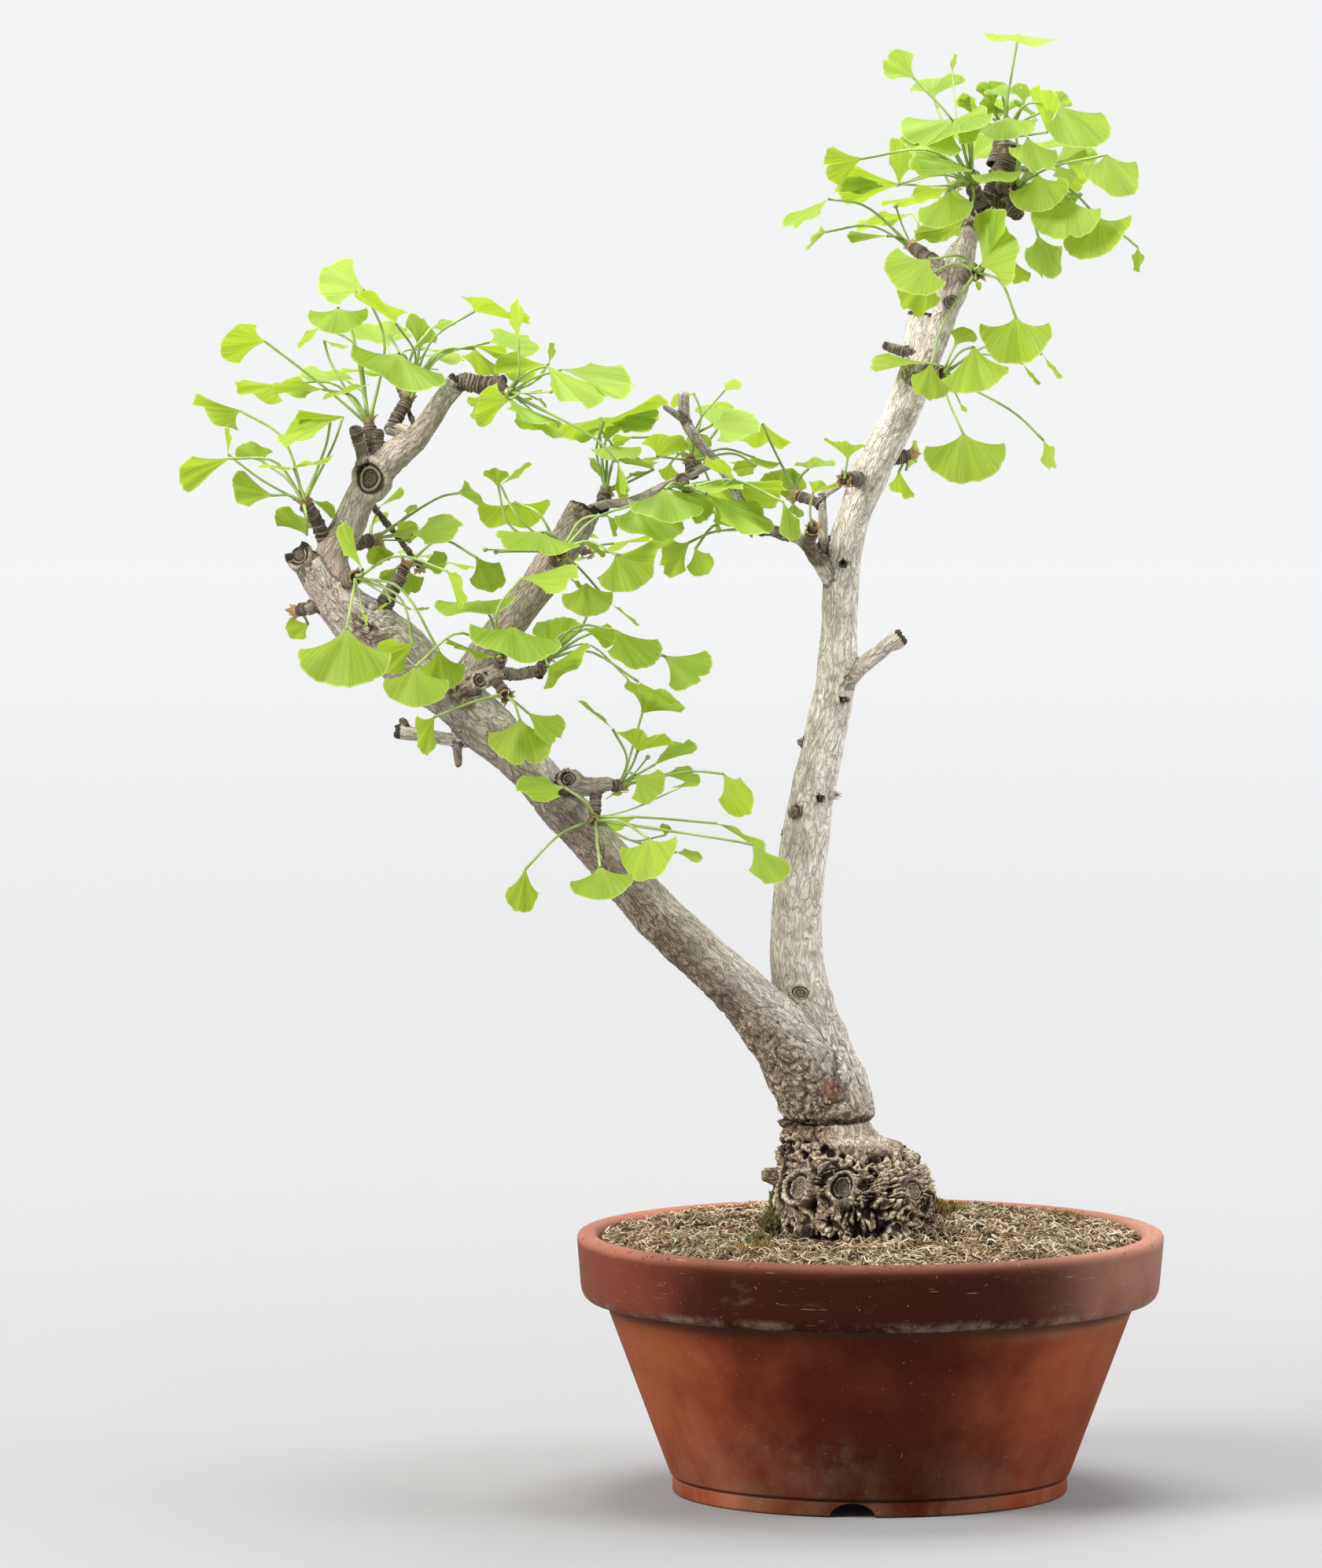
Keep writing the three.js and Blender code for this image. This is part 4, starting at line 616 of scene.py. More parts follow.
# reliefs are rounds of smoothing and the relief in metres that then counts as full
wood = {
    "voxel": 0.00105, "quickVoxel": 0.0018, "rounds": 3, "reliefs": ((3, 0.0022), (16, 0.0050)),
    "lineStep": 0.0015, "girdle": atDepth(1052, 1431, -33).z, "girdleDepth": 0.0027, "girdleHeight": 0.0021,
    "neckX": atDepth(1062, 1450, -33).x, "scab": atDepth(1056, 1386, -30),
    "wrinkle": 0.0058, "wrinkleHeight": 0.0020, "plates": ((0.0150, 0.0034), (0.0070, 0.0022), (0.0036, 0.0010)),
    "flake": 0.0052, "flakeHeight": 0.0008, "hollowDepth": 0.0020, "burlHollowDepth": 0.0036,
    "pale": (0.72, 0.66, 0.57), "palest": (0.90, 0.86, 0.78), "paleWide": (0.36, 0.30, 0.235),
    "paleFine": (0.30, 0.25, 0.19), "streak": (0.34, 0.285, 0.225), "rung": (0.22, 0.18, 0.135),
    "grey": (0.258, 0.200, 0.145), "greyLight": (0.38, 0.312, 0.235), "greyRidge": (0.60, 0.53, 0.43),
    "greyWide": (0.11, 0.083, 0.058), "greyFine": (0.13, 0.10, 0.07), "old": (0.25, 0.19, 0.13),
    "oldLight": (0.36, 0.29, 0.205), "plate": (0.52, 0.45, 0.35), "oldWide": (0.08, 0.058, 0.04),
    "ridge": (0.78, 0.70, 0.55), "bleachedAndLit": (0.80, 0.745, 0.665), "bleachedGroove": (0.25, 0.20, 0.15),
    "warm": (0.40, 0.265, 0.19), "algae": (0.33, 0.36, 0.22), "rust": (0.30, 0.12, 0.05),
    "scorch": (0.085, 0.052, 0.030), "fleck": (0.12, 0.10, 0.08), "twig": (0.10, 0.078, 0.06),
    "twigLight": (0.26, 0.22, 0.175), "knot": (0.13, 0.10, 0.066), "knotLight": (0.40, 0.33, 0.24),
    "crevice": (0.016, 0.012, 0.008), "holeShadeAndClouds": (0.022, 0.015, 0.010), "core": (0.15, 0.11, 0.075),
    "coreDark": (0.085, 0.055, 0.034), "coreLight": (0.27, 0.21, 0.145), "worn": (0.45, 0.38, 0.28),
    "scarBand": (0.46, 0.39, 0.30), "scarLip": (0.56, 0.48, 0.37),
}


def wrinkles(place, size, stretch):
    # rounded folds with narrow grooves between, drawn out along the limb
    x, y, z = place
    total, weight = 0.0, 0.0
    for octave, share in ((0, 1.0), (1, 0.55), (2, 0.3)):
        scale = 2 ** octave / size
        fold = min(1, 4.2 * abs(noise.noise((x * scale, y * scale, z * scale / stretch + 7 * octave))))
        total += (fold - 0.62) * share
        weight += share
    return total / weight


def surfaceSpot(surface, across, down):
    return surface.ray_cast(sheet["eye"], rayThrough(across, down).normalized())[:2]


def reachesFrom(spots, surface, across, down, reach):
    # each spot's distance from a drawn place on the surface, counted in reaches
    hit = surfaceSpot(surface, across, down)[0]
    if hit is None:
        return np.full(len(spots), np.inf)
    return np.linalg.norm(spots - np.array(hit), axis=1) / (reach * mm)


def burlPlates(place):
    # thick plates with deep gaps between, smaller ones on them, and sharp flakes
    total = 0
    for size, height in wood["plates"]:
        plate = min(1, 4.4 * abs(noise.noise(place / size + Vector((size * 900, 0, 0)))))
        total += (plate - 0.78) * height
    flake = 1 - 3.6 * abs(noise.noise(place / wood["flake"]))
    return total + max(flake, -0.6) * wood["flakeHeight"]


def limbRise(place, grain, stretch, old, crack):
    # wrinkles along the limb, low lumps, and plates where it is cracked
    x, y, z = grain
    rough = wrinkles((x, y, z), wood["wrinkle"], stretch) * wood["wrinkleHeight"]
    rough += noise.noise((x * 150, y * 150, z * 70)) * 0.0006
    lump = noise.noise(place * 55) * 0.0010
    rise = (0.10 + 0.9 * old ** 1.2) * rough + lump * (0.5 + old) + noise.noise((x * 620, y * 620, z * 260)) * 0.00018
    if crack > 0.02:
        warp = noise.noise_vector(place * 90) * 0.004
        rise = mixed(rise, burlPlates(place + warp) * 0.5, crack)
    return rise


def smoothNeck(place):
    # 1 on the smooth neck at the right, just below the girdle
    neck = smooth(place.z, wood["girdle"] - 0.019, wood["girdle"] - 0.008)
    return neck * smooth(place.x - place.y * 0.3, wood["neckX"] - 0.008, wood["neckX"] + 0.012)


def burlRise(place, grain, neck):
    # lumps and plates, flatter on the neck and calmer at the left
    x, y, z = grain
    warp = noise.noise_vector(place * 48) * 0.0065 + noise.noise_vector(place * 190) * 0.0012
    lump = noise.noise(place * 60) * 0.0036 + noise.noise(place * 26) * 0.003
    laid = Vector((place.x, place.y, place.z * mixed(1, 1.3, smooth(place.z, 0.152, 0.170)))) + warp
    calm = smooth(wood["neckX"] - place.x + noise.noise(place * 45) * 0.02, -0.004, 0.012)
    calm *= smooth(wood["girdle"] - place.z, 0.012, 0.024)
    rise = lump * 0.8 * (1 - neck) + burlPlates(laid) * (1 - 0.72 * neck) * (1 - 0.5 * calm)
    return rise + noise.noise((x * 620, y * 620, z * 260)) * 0.0003


def burlDarkClouds(place, neck):
    # dark clouds, most of them low on the right
    low = smooth(0.163 - place.z, 0, 0.024) * smooth(place.x - wood["neckX"], -0.01, 0.012)
    cloud = noise.noise(place * 70 + Vector((4, 9, 2))) + low * 0.30
    return 0.75 * smooth(cloud, 0.18, 0.36) * (1 - neck)


def barkRelief(spots, names, limb, grain, radius, surface):
    # how far the bark stands out or in, how old it is, and how dark: painted shade in the hollows and dark clouds low
    # on the burl
    rightTrunk, leftTrunk, burlStub = (names.index(name) for name in ("rightTrunk", "leftTrunk", "burlStub"))
    age = np.array([barkOf.get(names[n], youngBark)[0] for n in limb])
    onTrunk = np.isin(limb, [rightTrunk, leftTrunk])
    up = np.clip((spots[:, 2] - wood["girdle"] - 0.012) / 0.083, 0, 1)
    up = up * up * (3 - 2 * up)
    # the left trunk is younger towards its top
    age -= (limb == leftTrunk) * 0.2 * np.clip((spots[:, 2] - 0.30) / 0.10, 0, 1)
    age = np.where(onTrunk, 1 + (age - 1) * up, age)
    rise, cracked, holeShadeAndClouds = np.zeros(len(spots)), np.zeros(len(spots)), np.zeros(len(spots))
    for across, down, reach, share in gnarls:
        away = reachesFrom(spots, surface, across, down, reach)
        cracked = np.maximum(cracked, share * np.exp(-away ** 4))
    # painted shade in each hollow, with a ragged edge
    for across, down, reach in hollows:
        away = reachesFrom(spots, surface, across, down, reach)
        for i in np.nonzero(away < 2.2)[0]:
            ragged = away[i] * (1 + noise.noise(Vector(spots[i]) * 240))
            holeShadeAndClouds[i] = max(holeShadeAndClouds[i], math.exp(-ragged ** 3))
    for i, (spot, old, crack) in enumerate(zip(spots, age, cracked)):
        place = Vector(spot)
        if place.z > wood["girdle"]:
            stretch = 1.35 if limb[i] == leftTrunk else 2.3
            rise[i] = limbRise(place, grain[i], stretch, old, crack) - holeShadeAndClouds[i] * wood["hollowDepth"]
        else:
            neck = smoothNeck(place)
            rise[i] = burlRise(place, grain[i], neck) - holeShadeAndClouds[i] * wood["burlHollowDepth"]
            holeShadeAndClouds[i] = max(holeShadeAndClouds[i], burlDarkClouds(place, neck))
            age[i] = mixed(age[i], 0.36, neck)
        if limb[i] == burlStub:
            rise[i] *= 0.25
    ripple = 0.0011 * np.sin(grain[:, 0] * 260) + 0.0008 * np.sin(grain[:, 1] * 410)
    gap = (spots[:, 2] - wood["girdle"] + ripple) / wood["girdleHeight"]
    rise -= wood["girdleDepth"] * np.exp(-gap ** 2) * onTrunk
    rise *= np.clip(radius / 0.006, 0.12, 1)
    return rise, np.maximum(age, cracked), holeShadeAndClouds


def scarRelief(spots, surface):
    # each scar is a rolled lip round an inner ring and a sunken core; ring is 0 at its middle and 1 at its lip,
    # mark is 1 on a knot, and keep is how much of the bark's own relief is kept
    rise, mark, keep = np.zeros(len(spots)), np.zeros(len(spots)), np.ones(len(spots))
    ring = np.full(len(spots), 3.0)
    places = [(*scar, False) for scar in scars]
    places += [(across, down, reach, reach, height, True) for across, down, reach, height in knots]
    for across, down, wide, tall, height, knot in places:
        hit, facing = surfaceSpot(surface, across, down)
        if hit is None:
            continue
        level = Vector(facing).cross((0, 0, 1)).normalized()
        upright = level.cross(facing)
        gap = spots - np.array(hit)
        x, z = gap @ np.array(level), gap @ np.array(upright)
        deep = gap @ np.array(facing)
        turn = np.arctan2(z, x)
        uneven = 1 + 0.06 * np.sin(2 * turn + across) + 0.05 * np.sin(3 * turn + down)
        share = np.hypot(x / (wide * mm), z / (tall * mm)) / uneven
        near = (share < 2.2) & (np.abs(deep) < max(wide, tall) * 1.2 * mm)
        if knot:
            dome = np.exp(-(share / 0.75) ** 2) - 0.1 * np.exp(-(share / 0.3) ** 2)
            rise[near] += (dome * height * mm)[near]
            mark[near] = np.maximum(mark, np.exp(-(share / 0.95) ** 2))[near]
            continue
        lip = np.exp(-((share - 0.95) / 0.2) ** 2) + 0.35 * np.exp(-((share - 0.6) / 0.09) ** 2)
        core = -0.7 * (1 - np.clip(share / 0.8, 0, 1) ** 4) - 0.35 * np.exp(-((share - 0.74) / 0.06) ** 2)
        shape = lip + core if height > 0 else np.exp(-(share / 0.8) ** 2)
        rise[near] += (shape * height * mm)[near]
        calm = 1 - 0.8 * np.exp(-(share / 1.05) ** 6)
        keep[near] = np.minimum(keep[near], calm[near])
        if height > 0:
            ring[near] = np.minimum(ring[near], share[near])
    return rise, ring, keep, mark


def standsOut(places, normals, edges, rounds):
    # how far each vertex lies outside its smoothed surroundings
    count = len(places)
    a, b = edges.T
    degree = np.bincount(a, minlength=count) + np.bincount(b, minlength=count)
    calm = places
    for _ in range(rounds):
        total = [np.bincount(a, calm[b, k], count) + np.bincount(b, calm[a, k], count) for k in range(3)]
        calm = np.array(total).T / degree[:, None]
    return ((places - calm) * normals).sum(1)


def sawnFaces(spots, names, lines, ring):
    # sawn ends show rings and a dark weathered edge
    for name in sawn:
        line = lines[names.index(name)]
        gap = spots - line.places[-1]
        ahead = gap @ line.along[-1]
        flat = np.linalg.norm(gap - np.outer(ahead, line.along[-1]), axis=1) / line.radii[-1]
        face = (ahead > -0.0022) & (ahead < 0.003) & (flat < 1.4)
        ring[face] = np.minimum(ring[face], np.clip(flat[face], 0, 0.5))
    return ring


def bark():
    m = Maker("bark")
    place = m.place()
    grain = m.attribute("grain", 1)
    age, warm, dark, ring, relief, mark, holeShadeAndClouds, litTop = (
        m.attribute(name) for name in ("age", "warm", "dark", "ring", "relief", "mark", "holeShadeAndClouds", "litTop"))
    streak = m.noise(m.scaled(grain, (1, 1, 0.16)), 420, 4, 0.62)
    fleck = m.noise(m.scaled(grain, (1, 1, 0.5)), 950, 3, 0.6)
    broad = m.noise(place, 42, 4, 0.6)
    patch = m.noise(m.scaled(grain, (1, 1, 0.4)), 110, 4, 0.6)
    # grooves between wrinkles, wide and fine
    wide = m.lines(m.noise(m.scaled(grain, (1, 1, 0.36)), 240, 2, 0.5, 0.9), 0.075)
    fine = m.lines(m.noise(m.scaled(grain, (1, 1, 0.24)), 520, 2, 0.5, 0.6), 0.060)
    rung = m.lines(m.noise(m.scaled(grain, (0.3, 0.3, 1)), 260, 3, 0.6), 0.02) * broad.between(0.46, 0.6)
    plates = m.noise(m.scaled(grain, (1, 1, 0.45)), 330, 4, 0.6, 1.0)
    colour = m.mix(patch.between(0.3, 0.7), wood["pale"], wood["palest"])
    colour = m.mix(wide * 0.42, colour, wood["paleWide"])
    colour = m.mix(fine * 0.50, colour, wood["paleFine"])
    colour = m.mix(streak.between(0.54, 0.72) * 0.35, colour, wood["streak"])
    colour = m.mix(rung * 0.5, colour, wood["rung"])
    grey = m.mix(patch.between(0.3, 0.7), wood["grey"], wood["greyLight"])
    # ridge tops drawn paler, partly the bark's own colour and partly painted highlight
    grey = m.mix(relief.between(0.50, 0.80) * 0.5, grey, wood["greyRidge"])
    grey = m.mix(wide * 0.75, grey, wood["greyWide"])
    grey = m.mix(fine * 0.60, grey, wood["greyFine"])
    colour = m.mix(age.between(0.15, 0.62), colour, grey)
    oldWood = m.mix(broad.between(0.35, 0.65), wood["old"], wood["oldLight"])
    oldWood = m.mix(plates.between(0.5, 0.62) * 0.4, oldWood, wood["plate"])
    oldWood = m.mix(wide * 0.5, oldWood, wood["oldWide"])
    # ridge tops drawn paler, partly the bark's own colour and partly painted highlight
    oldWood = m.mix(relief.between(0.50, 0.82) * 0.9, oldWood, wood["ridge"])
    x, y, z = m.split(place)
    # pale folds at the fork, browner plates down to the girdle
    forkward = z - wood["girdle"] + (x - wood["neckX"]) * 0.9
    fork = forkward.between(0.011, 0.034) * (1 - z.between(wood["girdle"] + 0.080, wood["girdle"] + 0.105))
    pale = m.mix(wide * 0.34 + fine * 0.26, wood["bleachedAndLit"], wood["bleachedGroove"])
    oldWood = m.mix(fork * 0.85, oldWood, pale)
    colour = m.mix(fork * 0.65, colour, pale)
    colour = m.mix(age.between(0.58, 0.98), colour, oldWood)
    # painted light: the left trunk's upper side, which faces the lights, is drawn pale
    litTop = litTop * z.between(wood["girdle"] + 0.03, wood["girdle"] + 0.07)
    colour = m.mix(litTop.between(0.2, 0.85) * 0.9, colour, pale)
    colour = m.mix(warm * broad.between(0.25, 0.75) * 0.8, colour, wood["warm"])
    # greenish algae on the young trunk and a rusty scab above the girdle
    algae = z.between(0.40, 0.47) * (1 - z.between(0.52, 0.56)) * broad.between(0.45, 0.7) * x.between(0.03, 0.07)
    colour = m.mix(algae * 0.18, colour, wood["algae"])
    scabAway = ((x - wood["scab"].x) ** 2 + (z - wood["scab"].z) ** 2) ** 0.5
    scab = 1 - (scabAway + (fleck - 0.5) * 0.008).between(0.003, 0.008)
    colour = m.mix(scab * 0.7 * (1 - y.between(-0.01, 0.0)), colour, wood["rust"])
    girdle = z - wood["girdle"] + (patch - 0.5) * 0.006
    scorch = girdle.between(-0.007, -0.002) * (1 - girdle.between(0.001, 0.004)) * age.between(0.7, 0.9)
    colour = m.mix(scorch * 0.75, colour, wood["scorch"])
    colour = m.mix(fleck.between(0.6, 0.75) * 0.32, colour, wood["fleck"])
    colour = m.mix(dark, colour, m.mix(fleck, wood["twig"], wood["twigLight"]))
    colour = m.mix(mark * 0.5, colour, m.mix(fleck, wood["knot"], wood["knotLight"]))
    onBurl = 1 - z.between(wood["girdle"] - 0.002, wood["girdle"] + 0.006)
    colour = m.mix(onBurl, colour, m.scaled(colour, (1.02, 0.97, 0.88)))
    # painted shade in the crevices, where the relief sinks below its surroundings
    creviceShade = (1 - relief.between(0.05, 0.46)) * (0.20 + age.between(0.2, 0.85) * 0.40 + onBurl * 0.38)
    colour = m.mix(creviceShade * (1 - mark * 0.7), colour, wood["crevice"])
    # painted shade in the hollows, and the burl's dark clouds, less on the ridges
    holeShadeAndCloudShare = holeShadeAndClouds.between(0.12, 0.6) * (1 - relief.between(0.66, 0.95) * 0.55)
    colour = m.mix(holeShadeAndCloudShare * 0.94, colour, wood["holeShadeAndClouds"])
    # growth rings on scars and sawn faces, inside a pale rolled lip
    uneven = ring + (m.noise(place, 420, 3) - 0.5) * 0.25
    rings = m.wave(uneven * 30) * 0.5 + 0.5
    face = m.mix(rings, m.mix(onBurl, wood["coreDark"], wood["core"]), wood["coreLight"])
    face = m.mix(fleck.between(0.5, 0.7) * 0.6, face, wood["crevice"])
    face = m.mix(broad.between(0.45, 0.6) * 0.35 + onBurl * 0.3, face, wood["worn"])
    inFace = 1 - ring.between(0.48, 0.58)
    band = ring.between(0.52, 0.60) * (1 - ring.between(0.66, 0.72))
    lip = ring.between(0.80, 0.92) * (1 - ring.between(1.08, 1.3))
    gutter = ring.between(0.64, 0.70) * (1 - ring.between(0.78, 0.84))
    gutter = gutter + ring.between(0.42, 0.48) * (1 - ring.between(0.52, 0.56))
    colour = m.mix(inFace * 0.8, colour, face)
    colour = m.mix(band * (0.8 - onBurl * 0.25), colour, wood["scarBand"])
    colour = m.mix(lip * 0.5, colour, wood["scarLip"])
    colour = m.mix(gutter * (1 - onBurl * (1 - patch.between(0.40, 0.60))) * 0.85, colour, wood["crevice"])
    grooved = 0.3 + age * 0.7
    height = streak * 0.25 + fleck * 0.2 - wide * grooved * 0.9 - fine * grooved * 0.45
    height = height + plates * (0.2 + age * 1.3) + rings * inFace * 0.4
    return m.finish(base_color=colour, roughness=0.80 + streak * 0.12, normal=m.bump(height, 0.0016, 0.95),
                    specular_ior_level=0.22)


def woodSkin(runs):
    # one smooth skin round all the limbs, finer on the burl below the girdle
    voxel = wood["voxel"]
    skin = applied(tubes("limbs", runs, 8, capped=True), "woodSkin", REMESH={"mode": "VOXEL", "voxel_size": voxel})
    bm = bmesh.new()
    bm.from_mesh(skin)
    for _ in range(wood["rounds"]):
        bmesh.ops.smooth_vert(bm, verts=bm.verts, factor=0.5, use_axis_x=True, use_axis_y=True, use_axis_z=True)
    below = [edge for edge in bm.edges if max(v.co.z for v in edge.verts) < wood["girdle"] + 0.002]
    bmesh.ops.subdivide_edges(bm, edges=below, cuts=1, use_grid_fill=True)
    bm.normal_update()
    return bm


def makeWood():
    names = list(limbs)
    runs = [limbRun(points) for points in limbs.values()]
    lines = [LimbLine(run) for run in runs]
    bm = woodSkin(runs)
    surface = BVHTree.FromBMesh(bm)
    spots = np.array([vertex.co for vertex in bm.verts])
    normals = np.array([vertex.normal for vertex in bm.verts])
    limb, grain, radius, outside = straightened(spots, lines)
    rise, age, holeShadeAndClouds = barkRelief(spots, names, limb, grain, radius, surface)
    scarRise, ring, keep, mark = scarRelief(spots, surface)
    rise *= keep
    ring = sawnFaces(spots, names, lines, ring)
    # twigs that the smoothing thinned get their width back
    thin = (radius < 0.006) & (np.abs(outside) < 0.0014)
    regain = np.where(thin, -outside, 0)
    moved = spots + normals * (rise + scarRise + regain)[:, None]
    edges = np.array([[vertex.index for vertex in edge.verts] for edge in bm.edges])
    relief = np.full(len(spots), 0.5)
    for rounds, depth in wood["reliefs"]:
        relief += (standsOut(moved, normals, edges, rounds) - standsOut(spots, normals, edges, rounds)) / depth
    relief = np.clip(relief, 0, 1)
    bm.verts.ensure_lookup_table()
    for vertex, place in zip(bm.verts, moved):
        vertex.co = place
    mesh = meshFrom(bm, "wood")
    warm, dark = (np.array([barkOf.get(names[n], youngBark)[k] for n in limb]) for k in (1, 2))
    # painted light: how squarely each point of the left trunk faces up towards the lights
    litTop = np.clip(normals @ np.array((0.5, -0.1, 0.86)) * 1.2, 0, 1) * (limb == names.index("leftTrunk"))
    pointAttribute(mesh, "grain", grain + limb[:, None] * 0.37, "FLOAT_VECTOR")
    for name, values in (("age", age), ("warm", warm), ("dark", dark), ("ring", ring), ("relief", relief),
                         ("mark", mark), ("holeShadeAndClouds", holeShadeAndClouds), ("litTop", litTop)):
        pointAttribute(mesh, name, values)
    mesh.shade_smooth()
    skin = bark()
    for name, above in (("trunkAndBranches", True), ("trunkBurl", False)):
        bm = bmesh.new()
        bm.from_mesh(mesh)
        apart = [f for f in bm.faces if (f.calc_center_median().z > wood["girdle"]) != above]
        bmesh.ops.delete(bm, geom=apart, context="FACES")
        newPiece(name, meshFrom(bm, name), [skin], "bark", "wood")
    print("wood made:", len(mesh.vertices), "vertices")


# spurs and buds
spurs = {
    "ring": 0.0015, "proud": 0.18, "widen": 1.45, "backWiden": 0.55, "budHeight": 0.0046, "budRadius": 0.0023,
    "firstRinged": 60, "dark": (0.042, 0.029, 0.021), "light": (0.115, 0.086, 0.062), "ridge": (0.36, 0.295, 0.225),
    "gap": (0.024, 0.017, 0.012), "scale": (0.33, 0.24, 0.15),
}


def spurBark():
    m = Maker("spurBark")
    place = m.place()
    patch = m.noise(place, 260, 3)
    scale = m.noise(place, 1300, 2)
    proud = m.attribute("proud")
    colour = m.mix(patch.between(0.35, 0.65), spurs["dark"], spurs["light"])
    # the rings' raised edges drawn paler, partly their own colour and partly painted highlight, and the gaps between
    # them darkened with painted shade
    colour = m.mix(proud.between(0.55, 1.15) * 0.5, colour, spurs["ridge"])
    colour = m.mix((1 - proud.between(0.0, 0.3)) * 0.8, colour, spurs["gap"])
    colour = m.mix(scale.between(0.62, 0.75) * 0.4, colour, spurs["scale"])
    return m.finish(base_color=colour, roughness=0.8, normal=m.bump(scale + patch, 0.0004, 0.8))


# limbs that are ringed like spurs
ringed = ("horizontalSpur", "darkSpur", "greyStub", "ringedTwig", "swellingTwig", "crownSpurUp", "crownSpurRight",
          "deadTwig", "innerTwigLeft", "leftStubTwist")


def ringedRun(places, radii, heights, number):
    # closely set rings, each a little different; heights gets how far each point of the run bulges
    length = sum((q - p).length for p, q in zip(places, places[1:]))
    rings = max(3, round(length / spurs["ring"]))
    run = []
    for k in range(rings * 4 + 1):
        share = k / (rings * 4)
        bulge = (0.0, 0.75, 1.0, 0.6)[k % 4] * (0.3 + 1.4 * chance(number + k // 4, 21))
        radius = float(np.interp(share, np.linspace(0, 1, len(radii)), radii))
        run.append((curvePoint(places, share), radius * (0.95 + spurs["proud"] * bulge)))
        heights.append(bulge)
    return run


def makeSpurs():
    runs, heights = [], []
    for number, (name, bud, spur, _) in enumerate(allSprays):
        end, along = budAndAlong(bud, spur)
        wide = spur[3] * widthToRadius * spurs["backWiden" if name.startswith("leaves_back") else "widen"]
        start = atDepth(*spur[:3]) - along * mm
        bend = squareTo(Vector((chance(number, 22) - 0.5, chance(number, 23) - 0.5, 0.3)), along) * 0.0006
        run = ringedRun([start, start.lerp(end, 0.5) + bend, end], [wide, wide * 0.92, wide * 0.95], heights, number)
        # the bud's blunt base
        for rise, share in ((0.2, 1.05), (0.5, 0.9), (0.8, 0.6), (1.0, 0)):
            run.append((end + along * spurs["budHeight"] * rise, mixed(wide * 0.8, spurs["budRadius"], rise) * share))
            heights.append(0.6)
        runs.append(run)
    for number, name in enumerate(ringed):
        limb = limbRun(limbs[name], 3)
        run = ringedRun([place for place, _ in limb], [radius * 1.04 for _, radius in limb], heights,
                        spurs["firstRinged"] + number)
        along = (limb[-1][0] - limb[-2][0]).normalized()
        run += [(limb[-1][0] + along * 0.0008, limb[-1][1] * 0.7), (limb[-1][0] + along * 0.0010, 0)]
        heights += [0.1, 0.0]
        runs.append(run)
    mesh = tubes("spurs", runs, 4)
    sides = len(mesh.vertices) // len(heights)
    pointAttribute(mesh, "proud", np.repeat(heights, sides))
    for vertex in mesh.vertices:
        vertex.co += noise.noise_vector(vertex.co * 420) * 0.0005 + noise.noise_vector(vertex.co * 160) * 0.0007
    mesh.shade_smooth()
    newPiece("fruitSpurs", mesh, [spurBark()], "bark", "wood")
    print("spurs made:", len(runs))


def leaf(root, corners, depth, middle=None, over=None):
    return {"root": root, "corners": corners, "depth": depth, "middle": middle, "over": over}


